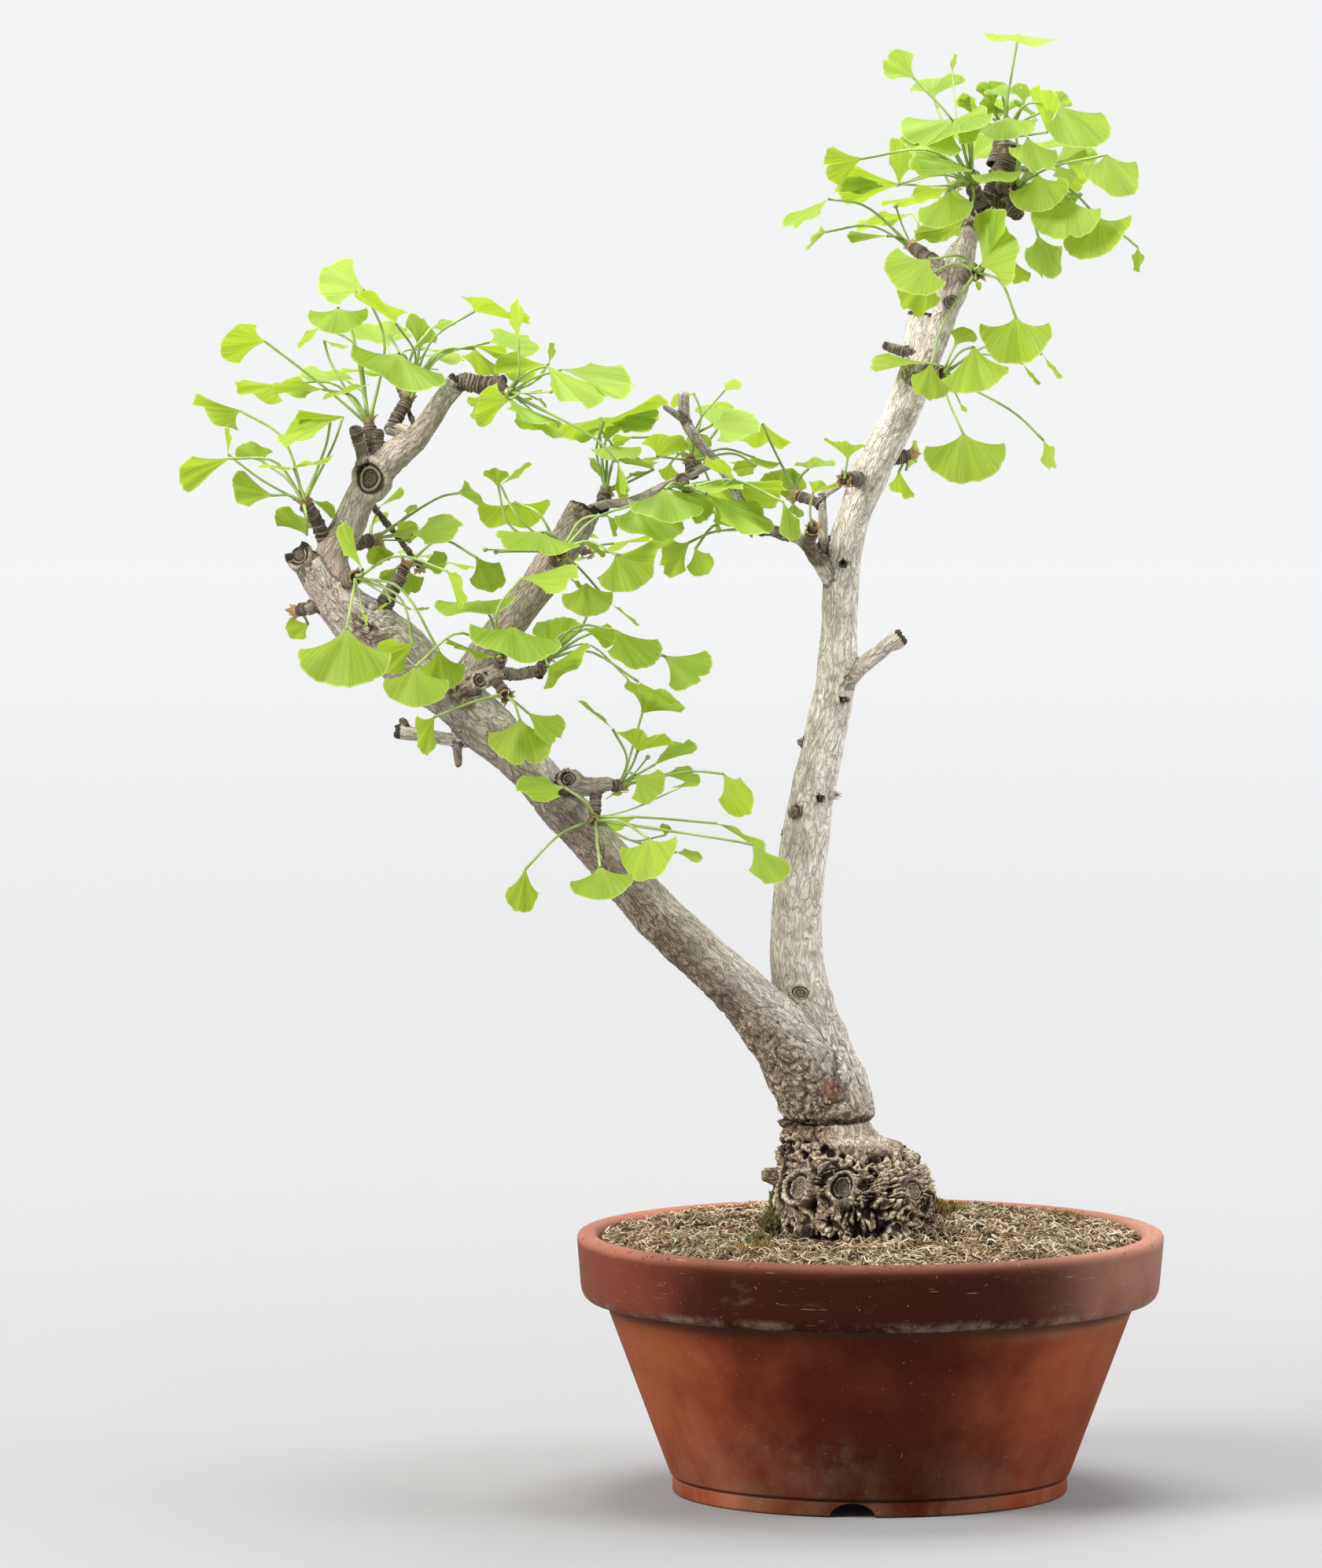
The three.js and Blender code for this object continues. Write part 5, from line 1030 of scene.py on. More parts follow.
# Sprays of leaves: name, the bud's place, the root and width of its spur, and its leaves. A leaf has its blade's
# root, its two outer corners and its depth from the bud, and some the middle of their outer edge and a point that
# the stalk arches over.
sprays = [
    ("leaves_far_left", (390, 643, -34), (414, 688, -21, 12), [
        ((291, 583), (233, 588, 240, 629), -12, (228, 610)), ((290, 578), (286, 546, 295, 548), -4, (290, 545)),
        ((335, 588), (300, 581, 347, 572), 6), ((374, 596), (322, 596, 430, 583), -14, (380, 590)),
        ((345, 630), (306, 595, 312, 648), -6, (298, 620)), ((390, 680), (340, 652, 388, 655), 14),
        ((397, 636), (424, 660, 431, 648), 12), ((420, 537), (350, 540, 366, 574), -8),
        ((305, 522), (248, 499, 290, 546), 5)]),
    ("leaves_top_left_1", (470, 543, -10), (477, 585, -18, 12), [
        ((337, 434), (306, 410, 280, 463), -5, None, (412, 492, -8)), ((355, 490), (306, 480, 357, 510), 8),
        ((410, 495), (348, 481, 352, 504), 4), ((443, 485), (375, 480, 435, 470), 12),
        ((441, 500), (407, 508, 475, 488), -15), ((462, 368), (432, 323, 415, 390), -3),
        ((430, 392), (388, 395, 470, 392), -20, (430, 425)), ((407, 415), (376, 437, 383, 441), 6),
        ((412, 433), (440, 440, 438, 446), 3)]),
    ("leaves_top_left_2", (517, 512, -2), (498, 547, -12, 12), [
        ((507, 450), (434, 440, 563, 478), -22, (510, 494)), ((504, 412), (447, 375, 513, 398), -6),
        ((533, 442), (513, 403, 556, 425), 4), ((547, 418), (575, 401, 580, 418), 9),
        ((497, 428), (475, 437, 520, 416), 12), ((538, 452), (585, 446, 590, 466), 14),
        ((603, 396), (585, 377, 672, 415), -8), ((622, 435), (638, 413, 690, 454), 6),
        ((603, 443), (588, 450, 640, 468), 4, (620, 478))]),
    ("leaves_top_left_3", (643, 497, -30), (620, 486, -22, 10), [
        ((659, 432), (645, 384, 665, 385), -4), ((693, 464), (622, 450, 648, 487), 12), None,
        ((698, 462), (699, 433, 707, 443), 5), ((648, 508), (630, 487, 622, 543), -22),
        ((620, 512), (590, 515, 600, 503), -10), ((603, 520), (598, 534, 608, 530), -6),
        ((646, 508), (672, 540, 727, 546), -16), ((652, 506), (675, 505, 675, 514), 4),
        ((684, 508), (690, 507, 696, 521), 8), ((786, 588), (790, 630, 799, 622), -20, None, (760, 560, -20))]),
    ("leaves_middle_1", (770, 628, 24), (766, 646, 10, 11), [
        None, ((762, 545), (726, 548, 735, 566), 14), ((769, 564), (771, 540, 796, 535), 6),
        ((769, 614), (746, 583, 757, 582), 12), ((778, 566), (749, 571, 820, 568), -8, (790, 584)),
        ((831, 597), (790, 588, 838, 590), -6), ((822, 600), (800, 609, 802, 600), 10)]),
    ("leaves_middle_2", (878, 588, 14), (880, 603, 1, 10), [
        ((836, 580), (822, 570, 883, 582), -12, (858, 553)), ((893, 575), (880, 557, 907, 560), 6),
        ((906, 540), (916, 512, 913, 563), -6, (965, 540)), ((921, 497), (928, 480, 948, 490), 4),
        ((882, 500), (846, 510, 862, 517), 12), ((960, 582), (922, 587, 999, 589), 10, (960, 594)),
        ((962, 592), (927, 590, 945, 608), 2)]),
    ("leaves_middle_3", (870, 620, -12), (866, 608, 2, 10), [
        ((934, 609), (888, 586, 915, 583), -16),
        ((996, 638), (988, 662, 1019, 664), -20, (1008, 687), (930, 610, -10)),
        ((898, 628), (928, 656, 972, 634), -12, (976, 680)), ((845, 622), (799, 640, 902, 645), -24, (850, 665)),
        ((908, 652), (917, 676, 912, 677), 2), ((884, 618), (955, 616, 900, 628), -6)]),
    ("leaves_inner_1", (957, 672, -24), (970, 674, -12, 10), [
        ((884, 698), (878, 735, 912, 716), -18), ((876, 690), (837, 695, 858, 742), -10, None, (905, 677, -8))]),
    ("leaves_inner_2", (1018, 632, 14), (1042, 642, 6, 9), [
        ((970, 539), (936, 562, 1010, 566), 8, (975, 568)), ((1012, 636), (985, 600, 1023, 600), 14),
        ((1028, 596), (1012, 592, 1070, 591), 6, (1040, 585)),
        ((1008, 640), (1000, 648, 1022, 652), 6, (1016, 658))]),
    ("leaves_inner_3", (1032, 676, -14), (1026, 694, 1, 11), [
        ((1034, 626), (1031, 612, 1074, 620), -6, (1052, 614))]),
    ("leaves_inner_4", (1077, 610, -16), (1094, 610, 2, 12), [
        ((1078, 582), (1040, 557, 1098, 567), -4, (1070, 560))]),
    ("leaves_inner_5", (1152, 580, 14), (1126, 588, 8, 12), [
        ((1143, 600), (1132, 620, 1168, 635), 6, (1150, 632)),
        ((1152, 598), (1160, 556, 1168, 580), 8, (1168, 565))]),
    ("leaves_middle_4", (712, 704, -24), (704, 716, 0, 12), [
        ((784, 706), (768, 735, 845, 711), -14, (805, 750)), ((741, 690), (766, 674, 797, 699), 4, (760, 697)),
        ((806, 642), (790, 655, 886, 655), -8, (840, 684), (755, 660, -6)), ((772, 655), (781, 687, 789, 670), 6),
        ((690, 678), (628, 684, 738, 690), -16, (685, 707)), ((728, 738), (742, 743, 740, 752), 4),
        ((776, 768), (815, 797, 806, 786), 6), ((633, 617), (611, 603, 648, 605), -4, (630, 597), (648, 668, -4)),
        ((636, 617), (650, 600, 662, 604), 2, (674, 590)), ((654, 639), (594, 637, 688, 630), 6, (650, 674))]),
    ("leaves_left_1", (451, 735, -48), (438, 744, -26, 12), [
        ((461, 724), (424, 676, 440, 661), -16), ((441, 800), (365, 829, 495, 836), -26, (435, 872)),
        ((526, 819), (472, 822, 487, 868), -14), ((558, 828), (530, 852, 593, 848), -18, (562, 880)),
        ((461, 780), (470, 790, 465, 797), -20), ((522, 775), (548, 776, 540, 772), 2),
        ((568, 726), (602, 722, 604, 770), -18, (590, 760)), ((497, 766), (478, 778, 482, 772), -8)]),
    ("leaves_left_2", (637, 836, -52), (634, 852, -41, 10), [
        ((607, 764), (546, 766, 655, 758), -6, (600, 778)), ((652, 797), (589, 800, 716, 818), -18, (660, 836)),
        ((630, 836), (571, 811, 612, 831), -8, (575, 822)), ((528, 848), (484, 868, 575, 868), -20, (530, 897)),
        ((663, 735), (726, 711, 700, 755), -20, (731, 735))]),
    ("leaves_left_3", (513, 724, -24), (502, 742, -27, 10), [
        ((606, 709), (603, 738, 644, 712), -8, (632, 750)), ((505, 722), (478, 732, 492, 743), 8),
        ((520, 728), (508, 747, 539, 735), 10), ((537, 720), (556, 703, 556, 735), 4, (568, 712))]),
    ("leaves_left_4", (470, 688, -8), (446, 694, -20, 12), [
        ((524, 680), (548, 654, 545, 698), -10, (586, 668)), ((499, 682), (507, 665, 515, 692), 2, (533, 670)),
        ((472, 668), (480, 651, 499, 652), 10), ((518, 655), (515, 645, 533, 643), 12),
        ((487, 690), (462, 712, 497, 712), 8), ((583, 627), (605, 614, 636, 656), 4, (612, 632), (560, 632, 4)),
        ((482, 645), (500, 620, 512, 625), 10, (513, 622))]),
    ("leaves_left_5", (382, 776, -16), (404, 770, -24, 12), [
        ((392, 794), (370, 785, 388, 814), 8)]),
    ("leaves_middle_5", (692, 842, -32), (684, 857, -38, 10), [
        ((745, 742), (712, 759, 784, 755), -12, (750, 783), (744, 790, -10)),
        ((702, 838), (674, 797, 746, 796), 6, (712, 786)), ((697, 848), (690, 864, 748, 800), -20, (735, 845)),
        ((745, 800), (778, 796, 772, 828), -4, (782, 812)), ((782, 801), (782, 826, 852, 810), -12, (822, 846)),
        ((846, 835), (852, 880, 904, 828), -6, (893, 862)), ((798, 863), (796, 880, 812, 878), 2),
        ((812, 867), (815, 880, 873, 905), 4, (850, 890))]),
    ("leaves_middle_6", (640, 880, -50), (628, 862, -40, 10), [
        ((552, 912), (524, 929, 548, 968), -14, None, (600, 893, -8)),
        ((672, 907), (680, 940, 713, 912), -4, (712, 938)), ((661, 915), (624, 935, 713, 936), -14, (665, 972))]),
    ("leaves_low_1", (756, 1036, -46), (758, 1004, -36, 10), [
        ((717, 1001), (690, 987, 712, 1021), -16, (658, 1003)),
        ((668, 1105), (633, 1132, 677, 1140), -10, (661, 1159)),
        ((763, 1103), (723, 1125, 811, 1113), -24, (768, 1142)),
        ((824, 1066), (786, 1080, 862, 1064), -22, (824, 1118)),
        ((860, 1084), (872, 1075, 882, 1093), 4, (893, 1090)), ((912, 1047), (906, 1041, 965, 1078), 2),
        ((957, 1074), (960, 1106, 1008, 1087), -8, (992, 1122), (925, 1068, -6)),
        ((864, 1002), (853, 1001, 886, 998), 8), ((846, 1062), (838, 1052, 855, 1058), 8)]),
    ("leaves_low_2", (785, 999, -26), (766, 1000, -35, 10), [
        ((779, 927), (742, 894, 770, 912), 8, (741, 893)), ((811, 955), (780, 927, 861, 943), -14, (826, 932)),
        ((817, 906), (797, 870, 872, 904), 2, (845, 880)), ((833, 972), (836, 948, 884, 948), 4, (872, 946)),
        ((845, 985), (868, 968, 892, 997), 8, (885, 985)), ((808, 986), (842, 976, 804, 1018), -16, (838, 1012)),
        ((920, 984), (922, 1018, 954, 984), -8, (950, 1036), (880, 981, -4)),
        ((780, 1008), (768, 1015, 800, 1005), 2)]),
    ("leaves_right_1", (1240, 346, -28), (1222, 352, -8, 14), [
        ((1182, 330), (1128, 302, 1196, 356), -14, (1140, 365)), ((1180, 350), (1133, 380, 1190, 398), 4),
        ((1292, 404), (1248, 414, 1344, 415), -12, (1290, 462)),
        ((1184, 463), (1149, 480, 1202, 497), -16, (1178, 506), (1200, 410, -14)),
        ((1247, 338), (1246, 268, 1270, 356), -14, (1290, 310)),
        ((1287, 330), (1275, 345, 1316, 350), 6, (1295, 358)), ((1241, 356), (1243, 370, 1250, 366), -6)]),
    ("leaves_right_2", (1196, 474, -20), (1178, 468, -3, 12), [
        ((1238, 441), (1199, 488, 1290, 470), -12, (1240, 500)),
        ((1215, 438), (1212, 424, 1247, 438), 4, (1232, 418)),
        ((1225, 552), (1172, 573, 1287, 567), -10, (1230, 613), (1204, 504, -6)),
        ((1327, 560), (1329, 605, 1348, 585), 6, None, (1290, 525, 4)), ((1300, 462), (1325, 491, 1315, 482), 8),
        ((1325, 450), (1345, 484, 1350, 477), 10), ((1177, 461), (1112, 450, 1112, 474), 8, (1107, 462)),
        ((1221, 513), (1224, 523, 1232, 524), 2)]),
    ("leaves_right_3", (1163, 316, 14), (1192, 338, -4, 12), [
        ((1053, 253), (995, 274, 1038, 276), -6, (1002, 290), (1100, 262, -2)),
        ((1050, 295), (1033, 293, 1012, 329), 2, (1030, 305)), ((1160, 272), (1085, 282, 1100, 290), 4),
        ((1128, 300), (1082, 292, 1085, 310), -4, (1078, 302))]),
    ("leaves_crown_1", (1238, 240, -16), (1244, 268, -5, 14), [
        ((1094, 202), (1051, 191, 1064, 243), -8, (1050, 215)),
        ((1140, 236), (1084, 214, 1092, 248), 4, (1064, 243)), ((1143, 234), (1126, 178, 1162, 180), 8),
        ((1238, 217), (1162, 196, 1180, 231), -10, (1160, 213)), ((1205, 240), (1150, 243, 1175, 258), 8),
        ((1207, 243), (1160, 266, 1237, 261), -12, (1196, 290)), ((1213, 240), (1208, 250, 1237, 262), 2),
        ((1222, 288), (1163, 290, 1180, 308), 10, (1165, 300)),
        ((1210, 152), (1139, 146, 1252, 132), -22, (1180, 188)),
        ((1187, 122), (1164, 117, 1243, 110), 10, (1200, 92)), ((1162, 99), (1152, 57, 1120, 98), -4),
        ((1211, 92), (1210, 70, 1218, 69), 14)]),
    ("leaves_crown_2", (1272, 182, 8), (1264, 208, 0, 12), [
        ((1295, 44), (1254, 44, 1359, 50), -6, (1300, 58), (1284, 108, 0)),
        ((1275, 122), (1241, 110, 1300, 115), 12), ((1280, 123), (1250, 120, 1303, 111), 4),
        ((1270, 152), (1238, 172, 1325, 162), -14, (1280, 177)), ((1318, 152), (1282, 126, 1305, 128), 6),
        ((1332, 168), (1305, 113, 1346, 128), -4, (1325, 112)), None, ((1245, 140), (1218, 135, 1225, 120), 12)]),
    ("leaves_crown_3", (1290, 238, -22), (1272, 238, -6, 12), [
        ((1307, 176), (1290, 188, 1358, 190), -18, (1322, 218)),
        ((1407, 197), (1378, 212, 1457, 204), -14, (1425, 250), (1333, 214, -8)),
        ((1318, 223), (1283, 246, 1364, 229), -20, (1325, 268)), ((1340, 208), (1380, 226, 1352, 236), -8),
        ((1265, 217), (1238, 222, 1308, 214), -16, (1272, 233)), ((1350, 205), (1385, 190, 1378, 214), 8),
        ((1360, 253), (1302, 270, 1398, 270), -16, (1352, 303)),
        ((1397, 277), (1347, 302, 1437, 275), -8, (1392, 328)),
        ((1320, 300), (1299, 322, 1354, 315), -12, (1335, 353)),
        ((1447, 314), (1437, 327, 1455, 325), 2, (1446, 345), (1412, 288, 0))]),
]
# sprays at the back: name, bud, spur, and for each leaf of the frame's spray whether it is kept
backSprays = [
    ("leaves_back_1", (1212, 245, 40), (1236, 292, -3, 14), (1, 1, 1, 1, 1)),
    ("leaves_back_2", (1306, 214, 44), (1262, 222, -2, 14), (1, 1, 1, 1, 1)),
    ("leaves_back_4", (744, 702, 54), (716, 696, 6, 14), (1, 1, 0, 1, 1)),
    ("leaves_back_5", (888, 588, 42), (890, 596, 1, 11), (0, 1, 1, 1)),
    ("leaves_back_6", (500, 470, 30), (532, 552, -15, 12), (1, 1, 1, 1)),
    ("leaves_back_7", (530, 716, 34), (462, 630, -16, 14), (0, 1, 0, 1)),
    ("leaves_back_3", (742, 1024, 24), (726, 1036, -26, 14), (0, 0, 0, 1)),
]

# more leaves that fill the sprays out
looseLeaves = [
    ("leaves_crown_2", ((1346, 134), (1326, 168, 1413, 142), -10, (1390, 186))),
    ("leaves_crown_2", ((1330, 140), (1318, 114, 1366, 132), 6, (1348, 117))),
    ("leaves_crown_2", ((1262, 134), (1238, 110, 1278, 106), 14, (1258, 103))),
    ("leaves_crown_2", ((1276, 142), (1250, 122, 1252, 149), 12, (1246, 136))),
    ("leaves_crown_2", ((1268, 151), (1250, 130, 1304, 128), 18, (1277, 124))),
    ("leaves_crown_2", ((1236, 144), (1217, 130, 1234, 118), 10, (1221, 121))),
    ("leaves_crown_2", ((1302, 130), (1284, 112, 1314, 113), 8)),
    ("leaves_crown_1", ((1142, 234), (1080, 208, 1084, 242), 6, (1070, 226))),
    ("leaves_right_1", ((1250, 340), (1243, 272, 1286, 284), -12, (1264, 266))),
    ("leaves_top_left_3", ((714, 470), (757, 457, 778, 512), 2, (803, 486))),
    ("leaves_top_left_3", ((650, 508), (668, 545, 728, 556), -6, (702, 558))),
    ("leaves_top_left_2", ((606, 440), (640, 444, 634, 462), 2, (645, 452))),
    ("leaves_far_left", ((436, 530), (385, 522, 392, 552), 4, (378, 536))),
    ("leaves_middle_1", ((768, 536), (800, 549, 846, 503), 2, (838, 522))),
    ("leaves_middle_1", ((786, 586), (784, 628, 800, 620), -14, (793, 632))),
    ("leaves_middle_2", ((804, 556), (782, 552, 790, 568), 4, (779, 562))),
    ("leaves_middle_2", ((890, 590), (868, 566, 905, 560), 10, (884, 553))),
    ("leaves_middle_2", ((852, 590), (836, 598, 868, 606), 14, (852, 613))),
    ("leaves_middle_3", ((900, 612), (950, 652, 988, 606), 6, (992, 636))),
    ("leaves_middle_3", ((902, 630), (915, 660, 975, 632), -4, (958, 668))),
    ("leaves_middle_3", ((850, 621), (878, 664, 906, 632), -10, (902, 656))),
    ("leaves_inner_2", ((1008, 640), (962, 612, 1020, 598), 10, (988, 597))),
    ("leaves_middle_4", ((694, 676), (632, 672, 664, 700), -8, (638, 690))),
    ("leaves_crown_1", ((1209, 152), (1138, 134, 1214, 186), -26, (1163, 187))),
    ("leaves_crown_1", ((1210, 153), (1252, 127, 1222, 184), -25, (1250, 163))),
    ("leaves_crown_1", ((1236, 218), (1190, 186, 1184, 230), -14, (1162, 200))),
    ("leaves_top_left_3", ((696, 465), (705, 494, 777, 488), -14, (750, 513))),
    ("leaves_middle_1", ((764, 531), (706, 523, 848, 502), 10, (786, 553))),
    ("leaves_crown_3", ((1282, 149), (1240, 160, 1319, 154), -12, (1278, 178))),
    ("leaves_back_3", ((756, 1046), (740, 1066, 778, 1074), 12, (762, 1086))),
    ("leaves_back_3", ((722, 1012), (694, 1006, 710, 1036), 16, (692, 1026))),
    ("leaves_crown_2", ((1338, 208), (1358, 182, 1394, 210), 14, (1388, 186))),
    ("leaves_left_4", ((466, 692), (470, 714, 502, 696), 8, (492, 713))),
]

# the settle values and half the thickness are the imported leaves' own
leaves = {
    "usualFan": math.radians(61), "largeBlade": 0.022, "tinyBlade": 0.010, "leastBlade": 0.007,
    "halfThickness": 0.0004, "longStalk": 0.024, "settleStep": 0.003, "settleSteps": 18,
    "swerves": (0, -0.007, 0.007, -0.014, 0.014), "backStalk": (0.014, 0.026), "backBlade": (0.015, 0.024),
    "backSpread": math.radians(62), "stalkRadius": 0.00086, "stalkSteps": 9, "scaleCount": 9, "firstLoose": 300,
    "light": ((0.25, 0.39, 0.028), (0.46, 0.61, 0.080)), "deep": ((0.15, 0.28, 0.014), (0.34, 0.49, 0.045)),
    "patch": (0.33, 0.50, 0.11), "vein": (0.50, 0.62, 0.16), "foot": (0.42, 0.55, 0.13), "rim": (0.66, 0.76, 0.26),
    "glow": ((0.34, 0.49, 0.014), (0.51, 0.66, 0.042)), "stalk": ((0.19, 0.29, 0.055), (0.36, 0.48, 0.13)),
    "stalkFleck": (0.50, 0.60, 0.26), "scale": ((0.25, 0.10, 0.035), (0.50, 0.36, 0.15)),
    "scaleTip": (0.72, 0.62, 0.36), "scaleGlow": (0.6, 0.5, 0.2),
}


def chance(number, purpose):
    # a repeatable draw from 0 to 1, for one leaf and one purpose
    x = math.sin(number * 127.1 + purpose * 311.7) * 43758.5453
    return x - math.floor(x)


def inSpace(flat, depth):
    return sheetRight * flat.x + sheetUp * flat.y + sheetInto * depth


def drawnPose(drawn, budDepth, slide):
    # a and w are the blade's middle line and its sideways half as they show on the sheet. Both are the blade's
    # length in truth, and square to each other, which gives their hidden depths.
    def toSheet(spot):
        return Vector((spot[0] - drawn["root"][0], drawn["root"][1] - spot[1])) * sheet["unit"]

    left, right = toSheet(drawn["corners"][:2]), toSheet(drawn["corners"][2:])
    chord, half = (left + right) / 2, (right - left) / 2
    cosFan = math.cos(leaves["usualFan"])
    if drawn["middle"]:
        a = toSheet(drawn["middle"])
        cosFan = min(max(chord.dot(a) / a.dot(a), -0.3), 0.75)
    else:
        opened = smooth(half.length / max(chord.length, 0.0001), 0.35, 1.3)
        a = chord / mixed(0.96, cosFan, opened)
    fan = math.acos(cosFan)
    w = half / math.sin(fan)
    aa, ww, aw = a.dot(a), w.dot(w), a.dot(w)
    length = math.sqrt((aa + ww + math.sqrt((aa - ww) ** 2 + 4 * aw * aw)) / 2)
    length = min(length, 1.2 * math.sqrt(max(aa, ww)))
    aDepth = (-1 if drawn["depth"] < 0 else 1) * math.sqrt(max(length ** 2 - aa, 0))
    wDepth = math.sqrt(max(length ** 2 - ww, 0)) * (-1 if aw * aDepth > 0 else 1)
    root = atDepth(*drawn["root"], budDepth + drawn["depth"] + slide / mm)
    return {"root": root, "ahead": inSpace(a, aDepth), "across": inSpace(w, wDepth), "fan": fan, "length": length}


def squareTo(vector, axis):
    return (vector - axis * vector.dot(axis)).normalized()


def drawnAtRandom(number, bud, along, slide):
    # a leaf at the back, round its spur's direction
    turn = 2 * math.pi * (number * goldenTurn + 0.1 * chance(number, 11))
    lean = leaves["backSpread"] * (0.35 + 0.65 * chance(number, 12))
    side = Vector((0, 0, 1)).cross(along).normalized()
    out = along * math.cos(lean) + side * (math.sin(lean) * math.cos(turn))
    out += along.cross(side) * (math.sin(lean) * math.sin(turn))
    length = mixed(*leaves["backBlade"], chance(number, 13))
    ahead = (out + Vector((0, 0.25, -0.55 * chance(number, 14)))).normalized()
    across = squareTo(Vector((1, 0.2, 0.5 * (chance(number, 15) - 0.5))), ahead)
    root = bud + out * mixed(*leaves["backStalk"], chance(number, 16)) + Vector((0, slide, 0))
    return {"root": root, "ahead": ahead * length, "across": across * length, "fan": leaves["usualFan"],
            "length": length}


def stalkPoints(pose, number, bud, along, over, swerve):
    out = squareTo(pose["root"] - bud, along)
    share = 0.2 + 0.65 * (0.618 * number % 1)  # spread over the bud's height
    start = bud + along * spurs["budHeight"] * share + out * 0.3 * spurs["budRadius"]
    span = (pose["root"] - start).length
    bow = over
    if bow is None:
        bow = start.lerp(pose["root"], 0.5) + along * span * 0.12 - pose["ahead"].normalized() * span * 0.16
        bow.z += span * 0.06
    return [start, bow + Vector((0, swerve, 0)), pose["root"]]


def bladeForm(pose, number):
    # the outline and lift of a blade's outer edge at a share from -1 at one corner to 1 at the other
    cup = 0.34 * (chance(number, 1) - 0.35)
    wave = 0.05 + 0.05 * chance(number, 2)
    phase = 2 * math.pi * chance(number, 3)

    def edge(share):
        radius = 1 + 0.035 * math.sin(3 * math.pi * share + phase) * (1 - share * share)
        ripple = wave * math.sin(2.5 * math.pi * share + phase) * (1 - 0.5 * share * share)
        return radius, pose["length"] * (cup * (share * share - 0.5) + ripple)
    return edge


def bladePoint(pose, normal, radius, lift, angle):
    return (pose["root"] + pose["ahead"] * (radius * math.cos(angle)) + pose["across"] * (radius * math.sin(angle))
            + normal * lift)


misses = []  # how far the four corners of each packed leaf lie from its solid's, in all


def settledPose(tree, drawn, number, bud, along, budDepth):
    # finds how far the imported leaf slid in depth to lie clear, and which way its stalk swerved
    def poseAt(slide):
        if drawn["root"]:
            return drawnPose(drawn, budDepth, slide)
        return drawnAtRandom(number, bud, along, slide)

    def overAt(slide):
        if drawn["over"]:
            across, down, depth = drawn["over"]
            return atDepth(across, down, budDepth + depth + slide / mm)

    if drawn["root"] and poseAt(0)["length"] < leaves["leastBlade"]:
        return poseAt(0), overAt(0), 0
    towards = -1 if drawn["depth"] < 0 else 1
    slides = [0]
    for i in range(1, leaves["settleSteps"] + 1):
        slides += [i * leaves["settleStep"] * towards, -i * leaves["settleStep"] * towards / 2]

    def miss(slide):
        pose = poseAt(slide)
        normal = pose["ahead"].cross(pose["across"]).normalized()
        edge = bladeForm(pose, number)
        total = 0
        for share in (-1, 1):
            radius, lift = edge(share)
            for side in (-1, 1):
                corner = bladePoint(pose, normal, radius, lift + side * leaves["halfThickness"], share * pose["fan"])
                total += tree.find(corner)[2]
        return total

    slide = min(slides, key=miss)
    pose = poseAt(slide)
    misses.append(miss(slide))

    def stalkMiss(swerve):
        points = stalkPoints(pose, number, bud, along, overAt(slide), swerve)
        return tree.find(curvePoint(points, 0.5))[2]

    start, _, end = stalkPoints(pose, number, bud, along, overAt(slide), 0)
    long = (end - start).length > leaves["longStalk"]
    return pose, overAt(slide), min(leaves["swerves"], key=stalkMiss) if long else 0


def addBlade(bm, toneLayer, pose, number):
    # a fan whose sides sweep in to its stalk, with a crimped outer edge, often cleft in the middle
    size = pose["length"]
    across, out = (30, 6) if size > leaves["largeBlade"] else (20, 5) if size > leaves["tinyBlade"] else (10, 4)
    edge = bladeForm(pose, number)
    normal = pose["ahead"].cross(pose["across"]).normalized()
    cleft = 0.13 if chance(number, 4) < 0.28 else 0.02
    cleftAt = 0.2 * (chance(number, 7) - 0.5)
    tone = chance(number, 5)
    sweep = 0.46 + 0.18 * chance(number, 6)
    crimped = 0.0 if size < leaves["tinyBlade"] else 0.010
    made = bmesh.ops.create_grid(bm, x_segments=across, y_segments=out, size=1, calc_uvs=True)
    for vertex in made["verts"]:
        share, rise = vertex.co.x, (vertex.co.y + 1) / 2
        radius, lift = edge(share)
        crimp = crimped * (math.sin(share * 23 + number) + 0.8 * math.sin(share * 37 + 2 * number))
        notch = cleft * math.exp(-((share - cleftAt) / (0.03 + 0.35 * cleft)) ** 2)
        rounding = 0.15 * abs(share) ** 7
        reach = rise * (1 + ((radius - 1) * 0.8 + 0.02 - notch + crimp - rounding) * rise ** 3)
        flare = sweep + (1.03 - sweep) * rise ** 0.6
        angle = share * pose["fan"] * flare
        stalkWide = leaves["stalkRadius"] * share * (1 - rise) ** 2
        pleat = 0.005 * size * math.sin(share * 19 + number) * rise ** 2
        spot = bladePoint(pose, normal, reach, lift * 0.85 * rise ** 1.6 + pleat, angle)
        vertex.co = spot + pose["across"].normalized() * stalkWide
        vertex[toneLayer] = tone


def stalkRun(points, wide):
    run = []
    for k in range(leaves["stalkSteps"] + 1):
        share = k / leaves["stalkSteps"]
        thick = 1.25 - 0.45 * smooth(share, 0, 0.35) + 0.12 * smooth(share, 0.8, 1)
        run.append((curvePoint(points, share), leaves["stalkRadius"] * thick * wide))
    return run


